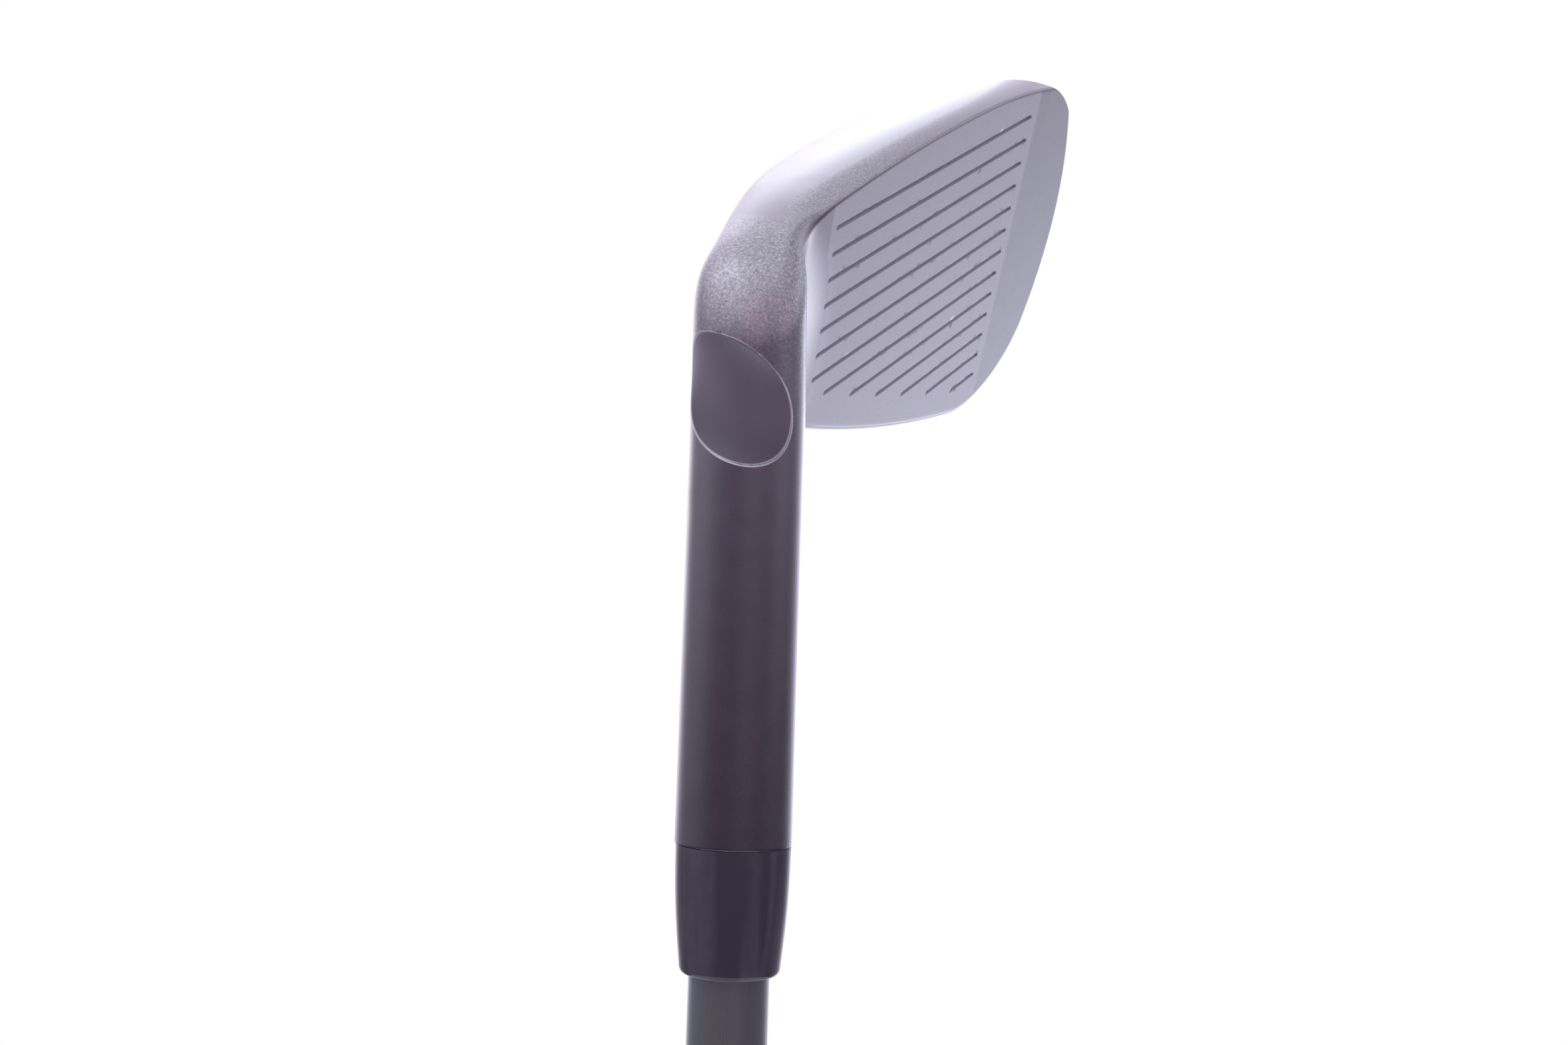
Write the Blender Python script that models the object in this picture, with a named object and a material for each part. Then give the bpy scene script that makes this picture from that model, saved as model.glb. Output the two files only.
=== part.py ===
"""Iron golf club, right-handed, modelled as separate named pieces.

World frame: the shaft axis is +Z, the butt end of the grip is at the origin and the head is at the top.
+X points from the shaft towards the toe, and -Y points towards the target, the way the face looks.

The head is worked out in its own frame, in millimetres, as the club is soled for play:
x runs towards the toe, y up from the ground and t towards the target, with the origin where the shaft
axis meets the ground. The face has its own coordinates: u along the score lines, v up the face, and
w the depth behind the face.
"""
import math

import bmesh
import bpy
import numpy as np

MM = 0.001

# Driving dimensions, in millimetres and degrees
CLUB_LENGTH = 965.2
LOFT = math.radians(26.6)
LIE = math.radians(61.9)
CLEARANCE = 0.3

# Face and outline of the blade
FACE_ORIGIN = (12.15, 7.28, 1.46)
TOP_CENTRE = (134.9, -239.2)
TOP_RADIUS = 300.0
TOE_REACH = 73.2
TOE_MID_V = 22.0
TOE_DROP = 21.0
TOE_SPAN = 42.0
TOE_CORNER = 14.5
LEAD_LOW_U = 31.8
LEAD_LOW_V = -5.35
LEAD_ANGLE = LOFT + math.radians(50.0)
LEAD_HEEL_RADIUS = 310.0
LEAD_TOE_RADIUS = 150.0
RIM_DEPTH = 6.4

# Sole: a rocker from heel to toe and a camber from front to back
SOLE_CENTRE_X = 41.0
SOLE_ROUND_REACH = 28.0
SOLE_HEEL_RADIUS = 330.0
SOLE_TOE_RADIUS = 420.0
SOLE_LOW_T = -6.0
SOLE_FRONT_RADIUS = 21.0
SOLE_BACK_RADIUS = 62.0
TRAILING_T = -18.6
TRAILING_CURVE = 0.0069
TOE_SOLE_ROUND = 11.5

# Hosel, ferrule and shaft
HOSEL_RADIUS = 6.53
HOSEL_END_RADIUS = 6.70
HOSEL_TOP_S = 72.7
HOSEL_TAPER_S = 28.0
BORE_RADIUS = 5.0
BORE_BOTTOM_S = 37.0
CROTCH = (-1.94, 36.8)
NECK_FILLET = 15.0
NECK_BACK_ANGLE = math.radians(24.0)
FERRULE_LENGTH = 14.0
FERRULE_BASE_RADIUS = 6.6
FERRULE_TIP_RADIUS = 5.8
FERRULE_BULGE = 0.2
FERRULE_END_ROUND = 0.9
FERRULE_END_INSET = 0.54
TIP_RADIUS = 4.65
TIP_PARALLEL = 60.0
BUTT_RADIUS = 7.6
BUTT_PARALLEL = 260.0
SHAFT_WALL = 0.5
WEIGHT_PIN_LENGTH = 22.0

# Notch on the heel side of the neck
NOTCH_S = 22.57
NOTCH_HALF_LENGTH = 6.8
NOTCH_DEPTH = 1.3
NOTCH_FLOOR_RADIUS = 7.7
NOTCH_TURN = math.radians(15.9)
NOTCH_TILT = math.radians(23.0)
NOTCH_OUTER_RADIUS = 12.0
NOTCH_SWEEP = math.radians(124.0)

# Score lines
GROOVE_COUNT = 13
GROOVE_PITCH = 3.56
GROOVE_WIDTH = 0.75
GROOVE_DEPTH = 0.45
GROOVE_TOE_U = 53.8
GROOVE_FULL_COUNT = 7
GROOVE_STEP_U = 3.9
GROOVE_STEP_GAP = 7.7
GROOVE_STEP_GROWTH = 0.35

# Back of the head; the flange's edge is (v, w) and its slope is how v and w share its outward direction
FLANGE_EDGE = (17.0, 7.0)
FLANGE_SLOPE = (0.68, 0.73)
CAVITY_FLOOR = 3.1
CAVITY_LOW_V = 15.0
CAVITY_HEEL_U = 11.0
CAVITY_MARGIN = 5.5
BADGE_LOW = (20.0, 15.4)
BADGE_HIGH = (58.0, 29.0)
PAD_THICKNESS = 1.8
BADGE_THICKNESS = 0.8
PLUG_PLACE = (58.5, 8.6)
PLUG_RADIUS = 4.0
PLUG_DEPTH = 6.0
PLUG_SUNK = 0.6
SOCKET_RADIUS = 1.75
SOCKET_DEPTH = 2.2

# Grip
GRIP_LENGTH = 267.0
GRIP_BUTT_RADIUS = 13.0
GRIP_MOUTH_RADIUS = 9.2
GRIP_TAPER_POWER = 1.6
TAPE_THICKNESS = 0.25
TAPE_LENGTH = 250.0
CAP_THICKNESS = 3.2
CAP_EDGE = 1.0
VENT_RADIUS = 1.0
VENT_OFFSET = 5.0

# Resolution of the head's surface
HOSEL_STATIONS = 3
HEEL_STATIONS = 14
BLADE_STATIONS = 23
SECTION_POINTS = 52
HEEL_PASSES = 7
FACET_ALLOWANCE = 0.07
SECTION_RAYS = 720
ROUND_SEGMENTS = 40

SHAFT_UP = (-math.cos(LIE), math.sin(LIE))


def clear_scene():
    for thing in list(bpy.data.objects):
        bpy.data.objects.remove(thing, do_unlink=True)


def make_material(name, colour, roughness, metallic):
    material = bpy.data.materials.new(name)
    material.use_nodes = True
    shader = material.node_tree.nodes["Principled BSDF"]
    shader.inputs["Base Color"].default_value = (*colour, 1.0)
    shader.inputs["Roughness"].default_value = roughness
    shader.inputs["Metallic"].default_value = metallic
    return material


def smooth_step(start, end, value):
    k = np.clip((value - start) / (end - start), 0.0, 1.0)
    return k * k * (3.0 - 2.0 * k)


def round_union(a, b, radius):
    u = np.maximum(radius - a, 0.0)
    v = np.maximum(radius - b, 0.0)
    return np.maximum(radius, np.minimum(a, b)) - np.hypot(u, v)


def round_cut(a, b, radius):
    u = np.maximum(radius + a, 0.0)
    v = np.maximum(radius + b, 0.0)
    return np.minimum(-radius, np.maximum(a, b)) + np.hypot(u, v)


def head_to_world(points):
    """Turn (x, y, t) in millimetres into world metres."""
    x, y, t = np.moveaxis(np.asarray(points, float), -1, 0)
    along = SHAFT_UP[0] * x + SHAFT_UP[1] * y
    across = SHAFT_UP[1] * x - SHAFT_UP[0] * y
    return np.stack([across, -t, CLUB_LENGTH - along], axis=-1) * MM


def face_to_head(u, v, w):
    return (
        FACE_ORIGIN[0] + u,
        FACE_ORIGIN[1] + math.cos(LOFT) * v - math.sin(LOFT) * w,
        FACE_ORIGIN[2] - math.sin(LOFT) * v - math.cos(LOFT) * w,
    )


def head_to_face(x, y, t):
    rise = y - FACE_ORIGIN[1]
    reach = t - FACE_ORIGIN[2]
    u = x - FACE_ORIGIN[0]
    v = math.cos(LOFT) * rise - math.sin(LOFT) * reach
    w = -(math.sin(LOFT) * rise + math.cos(LOFT) * reach)
    return u, v, w


def sole_height(x, t):
    """Height of the sole: a rocker from heel to toe and a camber from front to back."""
    side = np.abs(x - SOLE_CENTRE_X)
    near = np.minimum(side, SOLE_ROUND_REACH)
    rocker_radius = np.where(x < SOLE_CENTRE_X, SOLE_HEEL_RADIUS, SOLE_TOE_RADIUS)
    rocker = near * near / (2.0 * rocker_radius) + (side - near) * SOLE_ROUND_REACH / rocker_radius
    front = t - SOLE_LOW_T
    front_radius = SOLE_FRONT_RADIUS + 24.0 * (1.0 - smooth_step(1.0, 13.0, x))
    camber = front * front / (2.0 * np.where(front > 0, front_radius, SOLE_BACK_RADIUS))
    return rocker + camber


def trailing_edge(x):
    """Where the sole ends at the back, as t against x."""
    curve = TRAILING_T + TRAILING_CURVE * np.clip(45.0 - x, -60.0, 60.0) ** 2
    return np.minimum(curve, -6.2 - 2.2 * smooth_step(-8.0, 6.0, x))


def neck_front(across, t, along, radius, round_side, shift_across, shift_t):
    """Target side of the neck: the cylinder rolled into the face plane with one fillet radius.

    across and t are measured from the neck's centre, which the shifts move off the shaft axis.
    """
    slope = math.sin(LOFT) * SHAFT_UP[0]
    scale = math.hypot(slope, math.cos(LOFT))
    normal_across = -slope / scale
    normal_t = math.cos(LOFT) / scale
    rise = SHAFT_UP[1] * along - FACE_ORIGIN[1]
    plane_offset = (math.cos(LOFT) * FACE_ORIGIN[2] - math.sin(LOFT) * rise) / scale
    plane_offset = plane_offset + normal_across * shift_across + normal_t * shift_t
    lift = plane_offset + NECK_FILLET
    reach = np.sqrt(np.maximum((radius + NECK_FILLET) ** 2 - lift ** 2, 0.0))
    centre_across = reach * normal_t + lift * normal_across
    centre_t = -reach * normal_across + lift * normal_t
    from_across = across - centre_across
    from_t = t - centre_t
    plane = normal_across * across + normal_t * t - plane_offset
    fillet = NECK_FILLET - np.hypot(from_across, from_t)
    past_plane = from_across * normal_t - from_t * normal_across > 0
    past_neck = centre_across * t - centre_t * across > 0
    fillet = np.where(past_plane, plane, fillet)
    return np.where(past_neck, round_side, fillet)


def head_distance(x, y, t):
    """Signed distance to the head's outer surface: negative inside the metal."""
    u, v, w = head_to_face(x, y, t)
    along = SHAFT_UP[0] * x + SHAFT_UP[1] * y
    across = SHAFT_UP[1] * x - SHAFT_UP[0] * y

    taper = np.clip((along - HOSEL_TAPER_S) / (HOSEL_TOP_S - HOSEL_TAPER_S), 0.0, 1.0)
    low = 1.0 - smooth_step(8.0, HOSEL_TAPER_S, along)
    radius = HOSEL_RADIUS + (HOSEL_END_RADIUS - HOSEL_RADIUS) * taper + 0.08 * low
    shift_across = 0.2 * low
    shift_t = 0.3 * low
    across = across + shift_across
    t_neck = t + shift_t
    neck = np.hypot(across, t_neck) - radius

    top = np.hypot(u - TOP_CENTRE[0], v - TOP_CENTRE[1]) - TOP_RADIUS
    toe_k = (v - TOE_MID_V) / TOE_SPAN
    toe = (u - TOE_REACH + TOE_DROP * toe_k * toe_k) / np.sqrt(1.0 + toe_k * toe_k)
    outline = round_cut(top, toe, TOE_CORNER)

    sole = (sole_height(x, t) - y) * 0.97
    edge_t = trailing_edge(x)
    heel_relief = np.clip(8.0 - x, 0.0, 30.0)
    trailing = -(t - edge_t) * 0.75 - (y - sole_height(x, edge_t)) * 0.66 - heel_relief
    lead_radius = np.where(u < LEAD_LOW_U, LEAD_HEEL_RADIUS, LEAD_TOE_RADIUS)
    lead_v = LEAD_LOW_V + (u - LEAD_LOW_U) ** 2 / (2.0 * lead_radius)
    lead_band = -w * math.cos(LEAD_ANGLE) - (v - lead_v) * math.sin(LEAD_ANGLE)
    flange = (w - FLANGE_EDGE[1]) * FLANGE_SLOPE[1] + (v - FLANGE_EDGE[0]) * FLANGE_SLOPE[0]
    blade = round_union(w - RIM_DEPTH, flange, 4.0)

    off_neck = smooth_step(0.0, 6.0, neck) + 0.001
    front = neck_front(across, t_neck, along, radius, neck, shift_across, shift_t)
    sweep = -math.cos(NECK_BACK_ANGLE) * t_neck - math.sin(NECK_BACK_ANGLE) * across - radius
    upper = round_cut(front, round_union(neck, outline, 9.0), 1.0 * off_neck)
    upper = round_cut(upper, round_union(neck, blade, 10.0), 1.2 * off_neck)
    upper = round_cut(upper, sweep, 6.0 * smooth_step(0.0, 8.0, neck) + 0.001)
    heel_side = np.minimum(neck, -across - radius * math.sin(NECK_BACK_ANGLE))
    upper = np.maximum(upper, heel_side)

    lower = round_cut(sole, trailing, 1.2 + 2.5 * (1.0 - smooth_step(-6.0, 14.0, x)))
    lower = round_cut(lower, lead_band, 0.8)
    heel_round = 4.0 - 1.6 * smooth_step(0.0, 6.0, t)
    edge_round = 0.4 + heel_round * (1.0 - smooth_step(-6.0, 12.0, x))
    distance = round_cut(upper, lower, edge_round)
    return np.maximum(distance, round_cut(toe, sole, TOE_SOLE_ROUND))


def section_planes():
    """Planes that cut the head from the hosel's end, round the heel, to the toe.

    Each plane is (centre x, centre y, centre t, direction x, direction y), and it also holds the t axis.
    """
    planes = []
    crotch = np.array(CROTCH)
    crotch_s = SHAFT_UP[0] * crotch[0] + SHAFT_UP[1] * crotch[1]
    for along in np.linspace(HOSEL_TOP_S, crotch_s, HOSEL_STATIONS, endpoint=False):
        planes.append((SHAFT_UP[0] * along, SHAFT_UP[1] * along, 0.0, SHAFT_UP[1], -SHAFT_UP[0]))
    first_angle = math.pi + math.atan2(-SHAFT_UP[0], SHAFT_UP[1])
    for turn in np.linspace(0.0, 1.0, HEEL_STATIONS, endpoint=False):
        angle = first_angle + turn * LIE
        outward = np.array([math.cos(angle), math.sin(angle)])
        k = float(smooth_step(0.0, 1.0, turn))
        centre = crotch + outward * (15.6 + 8.2 * k)
        planes.append((centre[0], centre[1], -3.0 * k, -outward[0], -outward[1]))
    toe_x = FACE_ORIGIN[0] + TOE_REACH - 0.5
    for k in np.linspace(0.0, 1.0, BLADE_STATIONS):
        x = crotch[0] + (toe_x - crotch[0]) * math.sin(k * math.pi / 2)
        inward = float(smooth_step(crotch[0], 22.0, x))
        toeward = float(smooth_step(55.0, 82.0, x))
        y = 13.0 + 7.5 * inward
        y += (25.4 - y) * toeward
        face_t = FACE_ORIGIN[2] - (y - FACE_ORIGIN[1]) * math.tan(LOFT)
        t = -3.0 * (1.0 - inward) + (face_t - 3.4) * inward
        planes.append((x, y, t, 0.0, 1.0))
    return planes


def section_outline(plane):
    """Points round one section: rays from its centre meet the surface, then points are spread evenly
    over length and turning, so that tight curves get more of them. Flat facets cut inside a curve,
    so the skin stands a little proud to keep the true size."""
    centre_x, centre_y, centre_t, dir_x, dir_y = plane
    theta = np.linspace(0.0, 2.0 * math.pi, SECTION_RAYS, endpoint=False)
    cosine = np.cos(theta)
    sine = np.sin(theta)

    def distance_at(reach):
        step = cosine * reach
        return head_distance(centre_x + dir_x * step, centre_y + dir_y * step, centre_t + sine * reach)

    outside = np.full(SECTION_RAYS, 70.0)
    inside = np.zeros(SECTION_RAYS)
    found = np.zeros(SECTION_RAYS, bool)
    for reach in np.arange(0.5, 70.0, 0.5):
        fresh = (distance_at(np.full(SECTION_RAYS, reach)) > FACET_ALLOWANCE) & ~found
        outside[fresh] = reach
        inside[fresh] = reach - 0.5
        found |= fresh
        if found.all():
            break
    for _ in range(22):
        middle = (inside + outside) / 2.0
        within = distance_at(middle) <= FACET_ALLOWANCE
        inside = np.where(within, middle, inside)
        outside = np.where(within, outside, middle)

    ring = np.stack([cosine * inside, sine * inside], axis=1)
    closed = np.vstack([ring, ring[:1]])
    edges = np.diff(closed, axis=0)
    length = np.linalg.norm(edges, axis=1)
    heading = np.unwrap(np.arctan2(edges[:, 1], edges[:, 0]))
    turning = np.abs(np.diff(np.append(heading, heading[0] + 2.0 * math.pi)))
    turning = np.minimum(turning, 0.3)
    turning = 0.5 * (turning + np.roll(turning, 1))
    weight = 0.55 * length / length.sum() + 0.45 * turning / turning.sum()
    travelled = np.concatenate([[0.0], np.cumsum(weight)])
    travelled /= travelled[-1]
    wanted = np.linspace(0.0, 1.0, SECTION_POINTS, endpoint=False)
    step = np.interp(wanted, travelled, closed[:, 0])
    sideways = np.interp(wanted, travelled, closed[:, 1])
    return np.stack([centre_x + dir_x * step, centre_y + dir_y * step, centre_t + sideways], axis=1)


def smooth_heel(sections):
    """Blend the heel's back, where the round neck runs into the sole, by averaging neighbours."""
    x = sections[..., 0]
    y = sections[..., 1]
    t = sections[..., 2]
    along = SHAFT_UP[0] * x + SHAFT_UP[1] * y
    share = 0.7 * (1.0 - smooth_step(-3.0, 2.5, t)) * (1.0 - smooth_step(3.0, 16.0, x))
    share = share * (1.0 - smooth_step(17.0, 25.0, along))
    for _ in range(HEEL_PASSES):
        before = np.concatenate([sections[:1], sections[:-1]])
        after = np.concatenate([sections[1:], sections[-1:]])
        beside = np.roll(sections, 1, axis=1) + np.roll(sections, -1, axis=1)
        mean = (before + after + beside) / 4.0
        sections = sections + share[..., None] * (mean - sections)
    return sections


def finish_object(bm, name, material=None, sharp_degrees=None):
    """Turn a bmesh into an object whose faces all point out."""
    bmesh.ops.recalc_face_normals(bm, faces=bm.faces)
    mesh = bpy.data.meshes.new(name)
    bm.to_mesh(mesh)
    bm.free()
    thing = bpy.data.objects.new(name, mesh)
    bpy.context.scene.collection.objects.link(thing)
    if material is not None:
        mesh.materials.append(material)
    if sharp_degrees is not None:
        mesh.shade_smooth()
        mesh.set_sharp_from_angle(angle=math.radians(sharp_degrees))
    return thing


def cut_with(thing, cutter):
    cutter.hide_render = True
    cutter.display_type = "WIRE"
    cut = thing.modifiers.new(cutter.name, "BOOLEAN")
    cut.operation = "DIFFERENCE"
    cut.solver = "EXACT"
    cut.object = cutter


def add_prism(bm, outline, place_low, place_high):
    """Extrude an outline of (a, b) pairs between two placing functions that give world points."""
    low = [bm.verts.new(place_low(a, b)) for a, b in outline]
    high = [bm.verts.new(place_high(a, b)) for a, b in outline]
    bm.faces.new(low)
    bm.faces.new(high)
    count = len(outline)
    for i in range(count):
        j = (i + 1) % count
        bm.faces.new((low[i], low[j], high[j], high[i]))


def rounded_outline(corners, segments):
    """Round each (a, b, radius) corner of a polygon with an arc."""
    points = []
    count = len(corners)
    for i in range(count):
        here = np.array(corners[i][:2])
        radius = corners[i][2]
        before = np.array(corners[i - 1][:2]) - here
        after = np.array(corners[(i + 1) % count][:2]) - here
        before /= np.linalg.norm(before)
        after /= np.linalg.norm(after)
        half = math.acos(float(np.clip(before @ after, -1.0, 1.0))) / 2.0
        bisector = (before + after) / np.linalg.norm(before + after)
        centre = here + bisector * radius / math.sin(half)
        start = -bisector
        side = np.array([-start[1], start[0]])
        if side @ before < 0:
            side = -side
        sweep = math.pi / 2.0 - half
        for k in np.linspace(1.0, -1.0, segments + 1):
            angle = sweep * k
            point = centre + radius * (math.cos(angle) * start + math.sin(angle) * side)
            points.append((float(point[0]), float(point[1])))
    return points


def on_face(depth):
    """A placing function for points at one depth behind the face."""
    return lambda u, v: head_to_world(face_to_head(u, v, depth))


def turned(name, profile, material=None, segments=ROUND_SEGMENTS, sharp_degrees=40.0):
    """Spin a closed (radius, height) profile, in millimetres, round the Z axis."""
    bm = bmesh.new()
    rings = []
    for radius, height in profile:
        if radius < 1e-6:
            rings.append([bm.verts.new((0.0, 0.0, height * MM))])
            continue
        ring = []
        for k in range(segments):
            angle = 2.0 * math.pi * k / segments
            ring.append(bm.verts.new((radius * MM * math.cos(angle), radius * MM * math.sin(angle),
                                      height * MM)))
        rings.append(ring)
    count = len(rings)
    for i in range(count):
        a = rings[i]
        b = rings[(i + 1) % count]
        if len(a) == 1 and len(b) == 1:
            continue
        for k in range(segments):
            n = (k + 1) % segments
            if len(a) == 1:
                bm.faces.new((a[0], b[k], b[n]))
            elif len(b) == 1:
                bm.faces.new((a[k], b[0], a[n]))
            else:
                bm.faces.new((a[k], b[k], b[n], a[n]))
    return finish_object(bm, name, material, sharp_degrees)


def height_of(along):
    """World height, in millimetres, of a place on the shaft axis."""
    return CLUB_LENGTH - along


def make_groove_cutter():
    bm = bmesh.new()
    half = GROOVE_WIDTH / 2.0
    for i in range(GROOVE_COUNT):
        v = i * GROOVE_PITCH
        heel_u = 0.0
        if i >= GROOVE_FULL_COUNT:
            step = i - GROOVE_FULL_COUNT
            heel_u = GROOVE_STEP_U + step * GROOVE_STEP_GAP + GROOVE_STEP_GROWTH * step * (step - 1) / 2.0
        outline = []
        for centre_u, side in ((GROOVE_TOE_U - half, 0.0), (heel_u + half, math.pi)):
            for k in np.linspace(-math.pi / 2.0, math.pi / 2.0, 5):
                outline.append((centre_u + half * math.cos(side + k), v + half * math.sin(side + k)))
        add_prism(bm, outline, on_face(-1.0), on_face(GROOVE_DEPTH))
    return finish_object(bm, "score_line_cutter")


def top_line(u):
    return TOP_CENTRE[1] + math.sqrt(TOP_RADIUS ** 2 - (u - TOP_CENTRE[0]) ** 2)


def make_cavity_cutter():
    corners = [(CAVITY_HEEL_U, CAVITY_LOW_V, 3.0), (67.0, CAVITY_LOW_V, 5.0), (66.6, 44.0, 11.0)]
    for u in (50.0, 38.0, 25.0):
        corners.append((u, top_line(u) - CAVITY_MARGIN, 20.0))
    corners.append((CAVITY_HEEL_U, top_line(CAVITY_HEEL_U) - CAVITY_MARGIN, 4.0))
    bm = bmesh.new()
    add_prism(bm, rounded_outline(corners, 3), on_face(CAVITY_FLOOR), on_face(CAVITY_FLOOR + 20.0))
    return finish_object(bm, "cavity_cutter")


def plug_frame():
    """Centre and directions, in face coordinates, of the weight port on the back flange."""
    u, v = PLUG_PLACE
    w = FLANGE_EDGE[1] + (FLANGE_EDGE[0] - v) * FLANGE_SLOPE[0] / FLANGE_SLOPE[1]
    length = math.hypot(*FLANGE_SLOPE)
    out_v = FLANGE_SLOPE[0] / length
    out_w = FLANGE_SLOPE[1] / length
    return u, v, w, out_v, out_w


def plug_solid(name, radius, low, high, sides, material=None, sharp_degrees=None):
    """A round or many-sided prism square to the back flange, from one depth to another."""
    u, v, w, out_v, out_w = plug_frame()

    def place(depth):
        return lambda a, b: head_to_world(
            face_to_head(u + a, v + out_v * depth + out_w * b, w + out_w * depth - out_v * b))

    outline = []
    for k in range(sides):
        angle = 2.0 * math.pi * k / sides
        outline.append((radius * math.cos(angle), radius * math.sin(angle)))
    bm = bmesh.new()
    add_prism(bm, outline, place(low), place(high))
    return finish_object(bm, name, material, sharp_degrees)


def make_notch_cutter():
    """Part of a ring whose inner side bulges towards the neck, tilted with the notch."""
    arc_radius = (NOTCH_HALF_LENGTH ** 2 + NOTCH_DEPTH ** 2) / (2.0 * NOTCH_DEPTH)
    offset = NOTCH_FLOOR_RADIUS - (HOSEL_RADIUS - NOTCH_DEPTH)
    centre_x = offset * math.cos(NOTCH_TURN)
    centre_y = offset * math.sin(NOTCH_TURN)
    half_height = NOTCH_HALF_LENGTH + 2.0
    profile = []
    for height in np.linspace(-half_height, half_height, 13):
        sag = arc_radius - math.sqrt(arc_radius ** 2 - height ** 2)
        profile.append((NOTCH_FLOOR_RADIUS + sag, height))
    profile.append((NOTCH_OUTER_RADIUS, half_height))
    profile.append((NOTCH_OUTER_RADIUS, -half_height))
    bm = bmesh.new()
    rings = []
    steps = 28
    for i in range(steps + 1):
        angle = math.pi + NOTCH_TURN + NOTCH_SWEEP * (i / steps - 0.5)
        ring = []
        for radius, height in profile:
            x = centre_x + radius * math.cos(angle)
            y = centre_y + radius * math.sin(angle)
            z = height_of(NOTCH_S) + height + math.tan(NOTCH_TILT) * y
            ring.append(bm.verts.new((x * MM, y * MM, z * MM)))
        rings.append(ring)
    bm.faces.new(rings[0])
    bm.faces.new(rings[-1])
    count = len(profile)
    for a, b in zip(rings, rings[1:]):
        for i in range(count):
            j = (i + 1) % count
            bm.faces.new((a[i], a[j], b[j], b[i]))
    return finish_object(bm, "notch_cutter")


def make_head(material):
    bm = bmesh.new()
    sections = smooth_heel(np.array([section_outline(plane) for plane in section_planes()]))
    rings = []
    for section in sections:
        rings.append([bm.verts.new(p) for p in head_to_world(section)])
    for a, b in zip(rings, rings[1:]):
        for i in range(SECTION_POINTS):
            j = (i + 1) % SECTION_POINTS
            bm.faces.new((a[i], a[j], b[j], b[i]))
    bm.faces.new(rings[0])
    bm.faces.new(rings[-1])
    head = finish_object(bm, "head_casting", material, 35.0)

    bore_low = height_of(BORE_BOTTOM_S)
    bore_high = height_of(HOSEL_TOP_S) - 5.0
    bore_profile = [(0.0, bore_high), (BORE_RADIUS, bore_high), (BORE_RADIUS, bore_low), (0.0, bore_low)]
    cut_with(head, turned("bore_cutter", bore_profile))
    cut_with(head, make_notch_cutter())
    cut_with(head, make_groove_cutter())
    cut_with(head, make_cavity_cutter())
    cut_with(head, plug_solid("weight_port_cutter", PLUG_RADIUS + CLEARANCE, -PLUG_DEPTH, 8.0, 28))
    return head


def make_toe_weight(material):
    top = -PLUG_SUNK
    plug = plug_solid("toe_weight", PLUG_RADIUS, CLEARANCE - PLUG_DEPTH, top, 28, material, 40.0)
    cut_with(plug, plug_solid("socket_cutter", SOCKET_RADIUS, top - SOCKET_DEPTH, top + 2.0, 6))
    return plug


def badge_outline(margin):
    low_u, low_v = BADGE_LOW
    high_u, high_v = BADGE_HIGH
    corners = [
        (low_u + margin, low_v + margin, 2.0),
        (high_u - margin, low_v + margin, 2.0),
        (high_u - 5.0 - margin, high_v - margin, 3.0),
        (low_u + 5.0 + margin, high_v - 4.0 - margin, 3.0),
    ]
    return rounded_outline(corners, 4)


def make_plate(name, low, high, margin, material):
    bm = bmesh.new()
    add_prism(bm, badge_outline(margin), on_face(low), on_face(high))
    return finish_object(bm, name, material, 40.0)


def shaft_radius(height):
    """Outer radius of the shaft at a height: parallel butt, even taper, parallel tip."""
    tip_start = height_of(BORE_BOTTOM_S) - TIP_PARALLEL
    k = (height - BUTT_PARALLEL) / (tip_start - BUTT_PARALLEL)
    k = min(max(k, 0.0), 1.0)
    return BUTT_RADIUS + (TIP_RADIUS - BUTT_RADIUS) * k


def make_shaft(material):
    low = CAP_THICKNESS + CLEARANCE
    high = height_of(BORE_BOTTOM_S) - CLEARANCE
    tip_start = height_of(BORE_BOTTOM_S) - TIP_PARALLEL
    heights = [low, BUTT_PARALLEL, tip_start, high]
    outer = [(shaft_radius(h), h) for h in heights]
    inner = [(shaft_radius(h) - SHAFT_WALL, h) for h in reversed(heights)]
    return turned("shaft", outer + inner, material)


def make_ferrule(material):
    base = height_of(HOSEL_TOP_S) - CLEARANCE
    profile = []
    for k in np.linspace(0.0, 1.0, 9):
        bulge = FERRULE_BULGE * math.sin(math.pi * k)
        radius = FERRULE_BASE_RADIUS + (FERRULE_TIP_RADIUS - FERRULE_BASE_RADIUS) * k + bulge
        profile.append((radius, base - k * (FERRULE_LENGTH - FERRULE_END_ROUND)))
    for angle in np.linspace(30.0, 90.0, 3):
        inward = FERRULE_END_INSET * (1.0 - math.cos(math.radians(angle)))
        along = FERRULE_LENGTH - FERRULE_END_ROUND * (1.0 - math.sin(math.radians(angle)))
        profile.append((FERRULE_TIP_RADIUS - inward, base - along))
    bore = shaft_radius(base) + 0.2
    profile.append((bore, base - FERRULE_LENGTH))
    profile.append((bore, base))
    return turned("ferrule", profile, material)


def make_weight_pin(material):
    high = height_of(BORE_BOTTOM_S) - CLEARANCE
    radius = TIP_RADIUS - SHAFT_WALL - CLEARANCE
    low = high - WEIGHT_PIN_LENGTH
    profile = [(0.0, high), (radius, high), (radius, high - 5.0), (radius - 0.8, high - 6.0),
               (radius - 0.8, low + 1.0), (radius - 1.6, low), (0.0, low)]
    return turned("tip_weight_pin", profile, material, segments=24)


def make_grip_tape(material):
    inner = BUTT_RADIUS + CLEARANCE
    outer = inner + TAPE_THICKNESS
    low = CAP_THICKNESS + CLEARANCE
    profile = [(outer, low), (outer, low + TAPE_LENGTH), (inner, low + TAPE_LENGTH), (inner, low)]
    return turned("grip_tape", profile, material)


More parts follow.
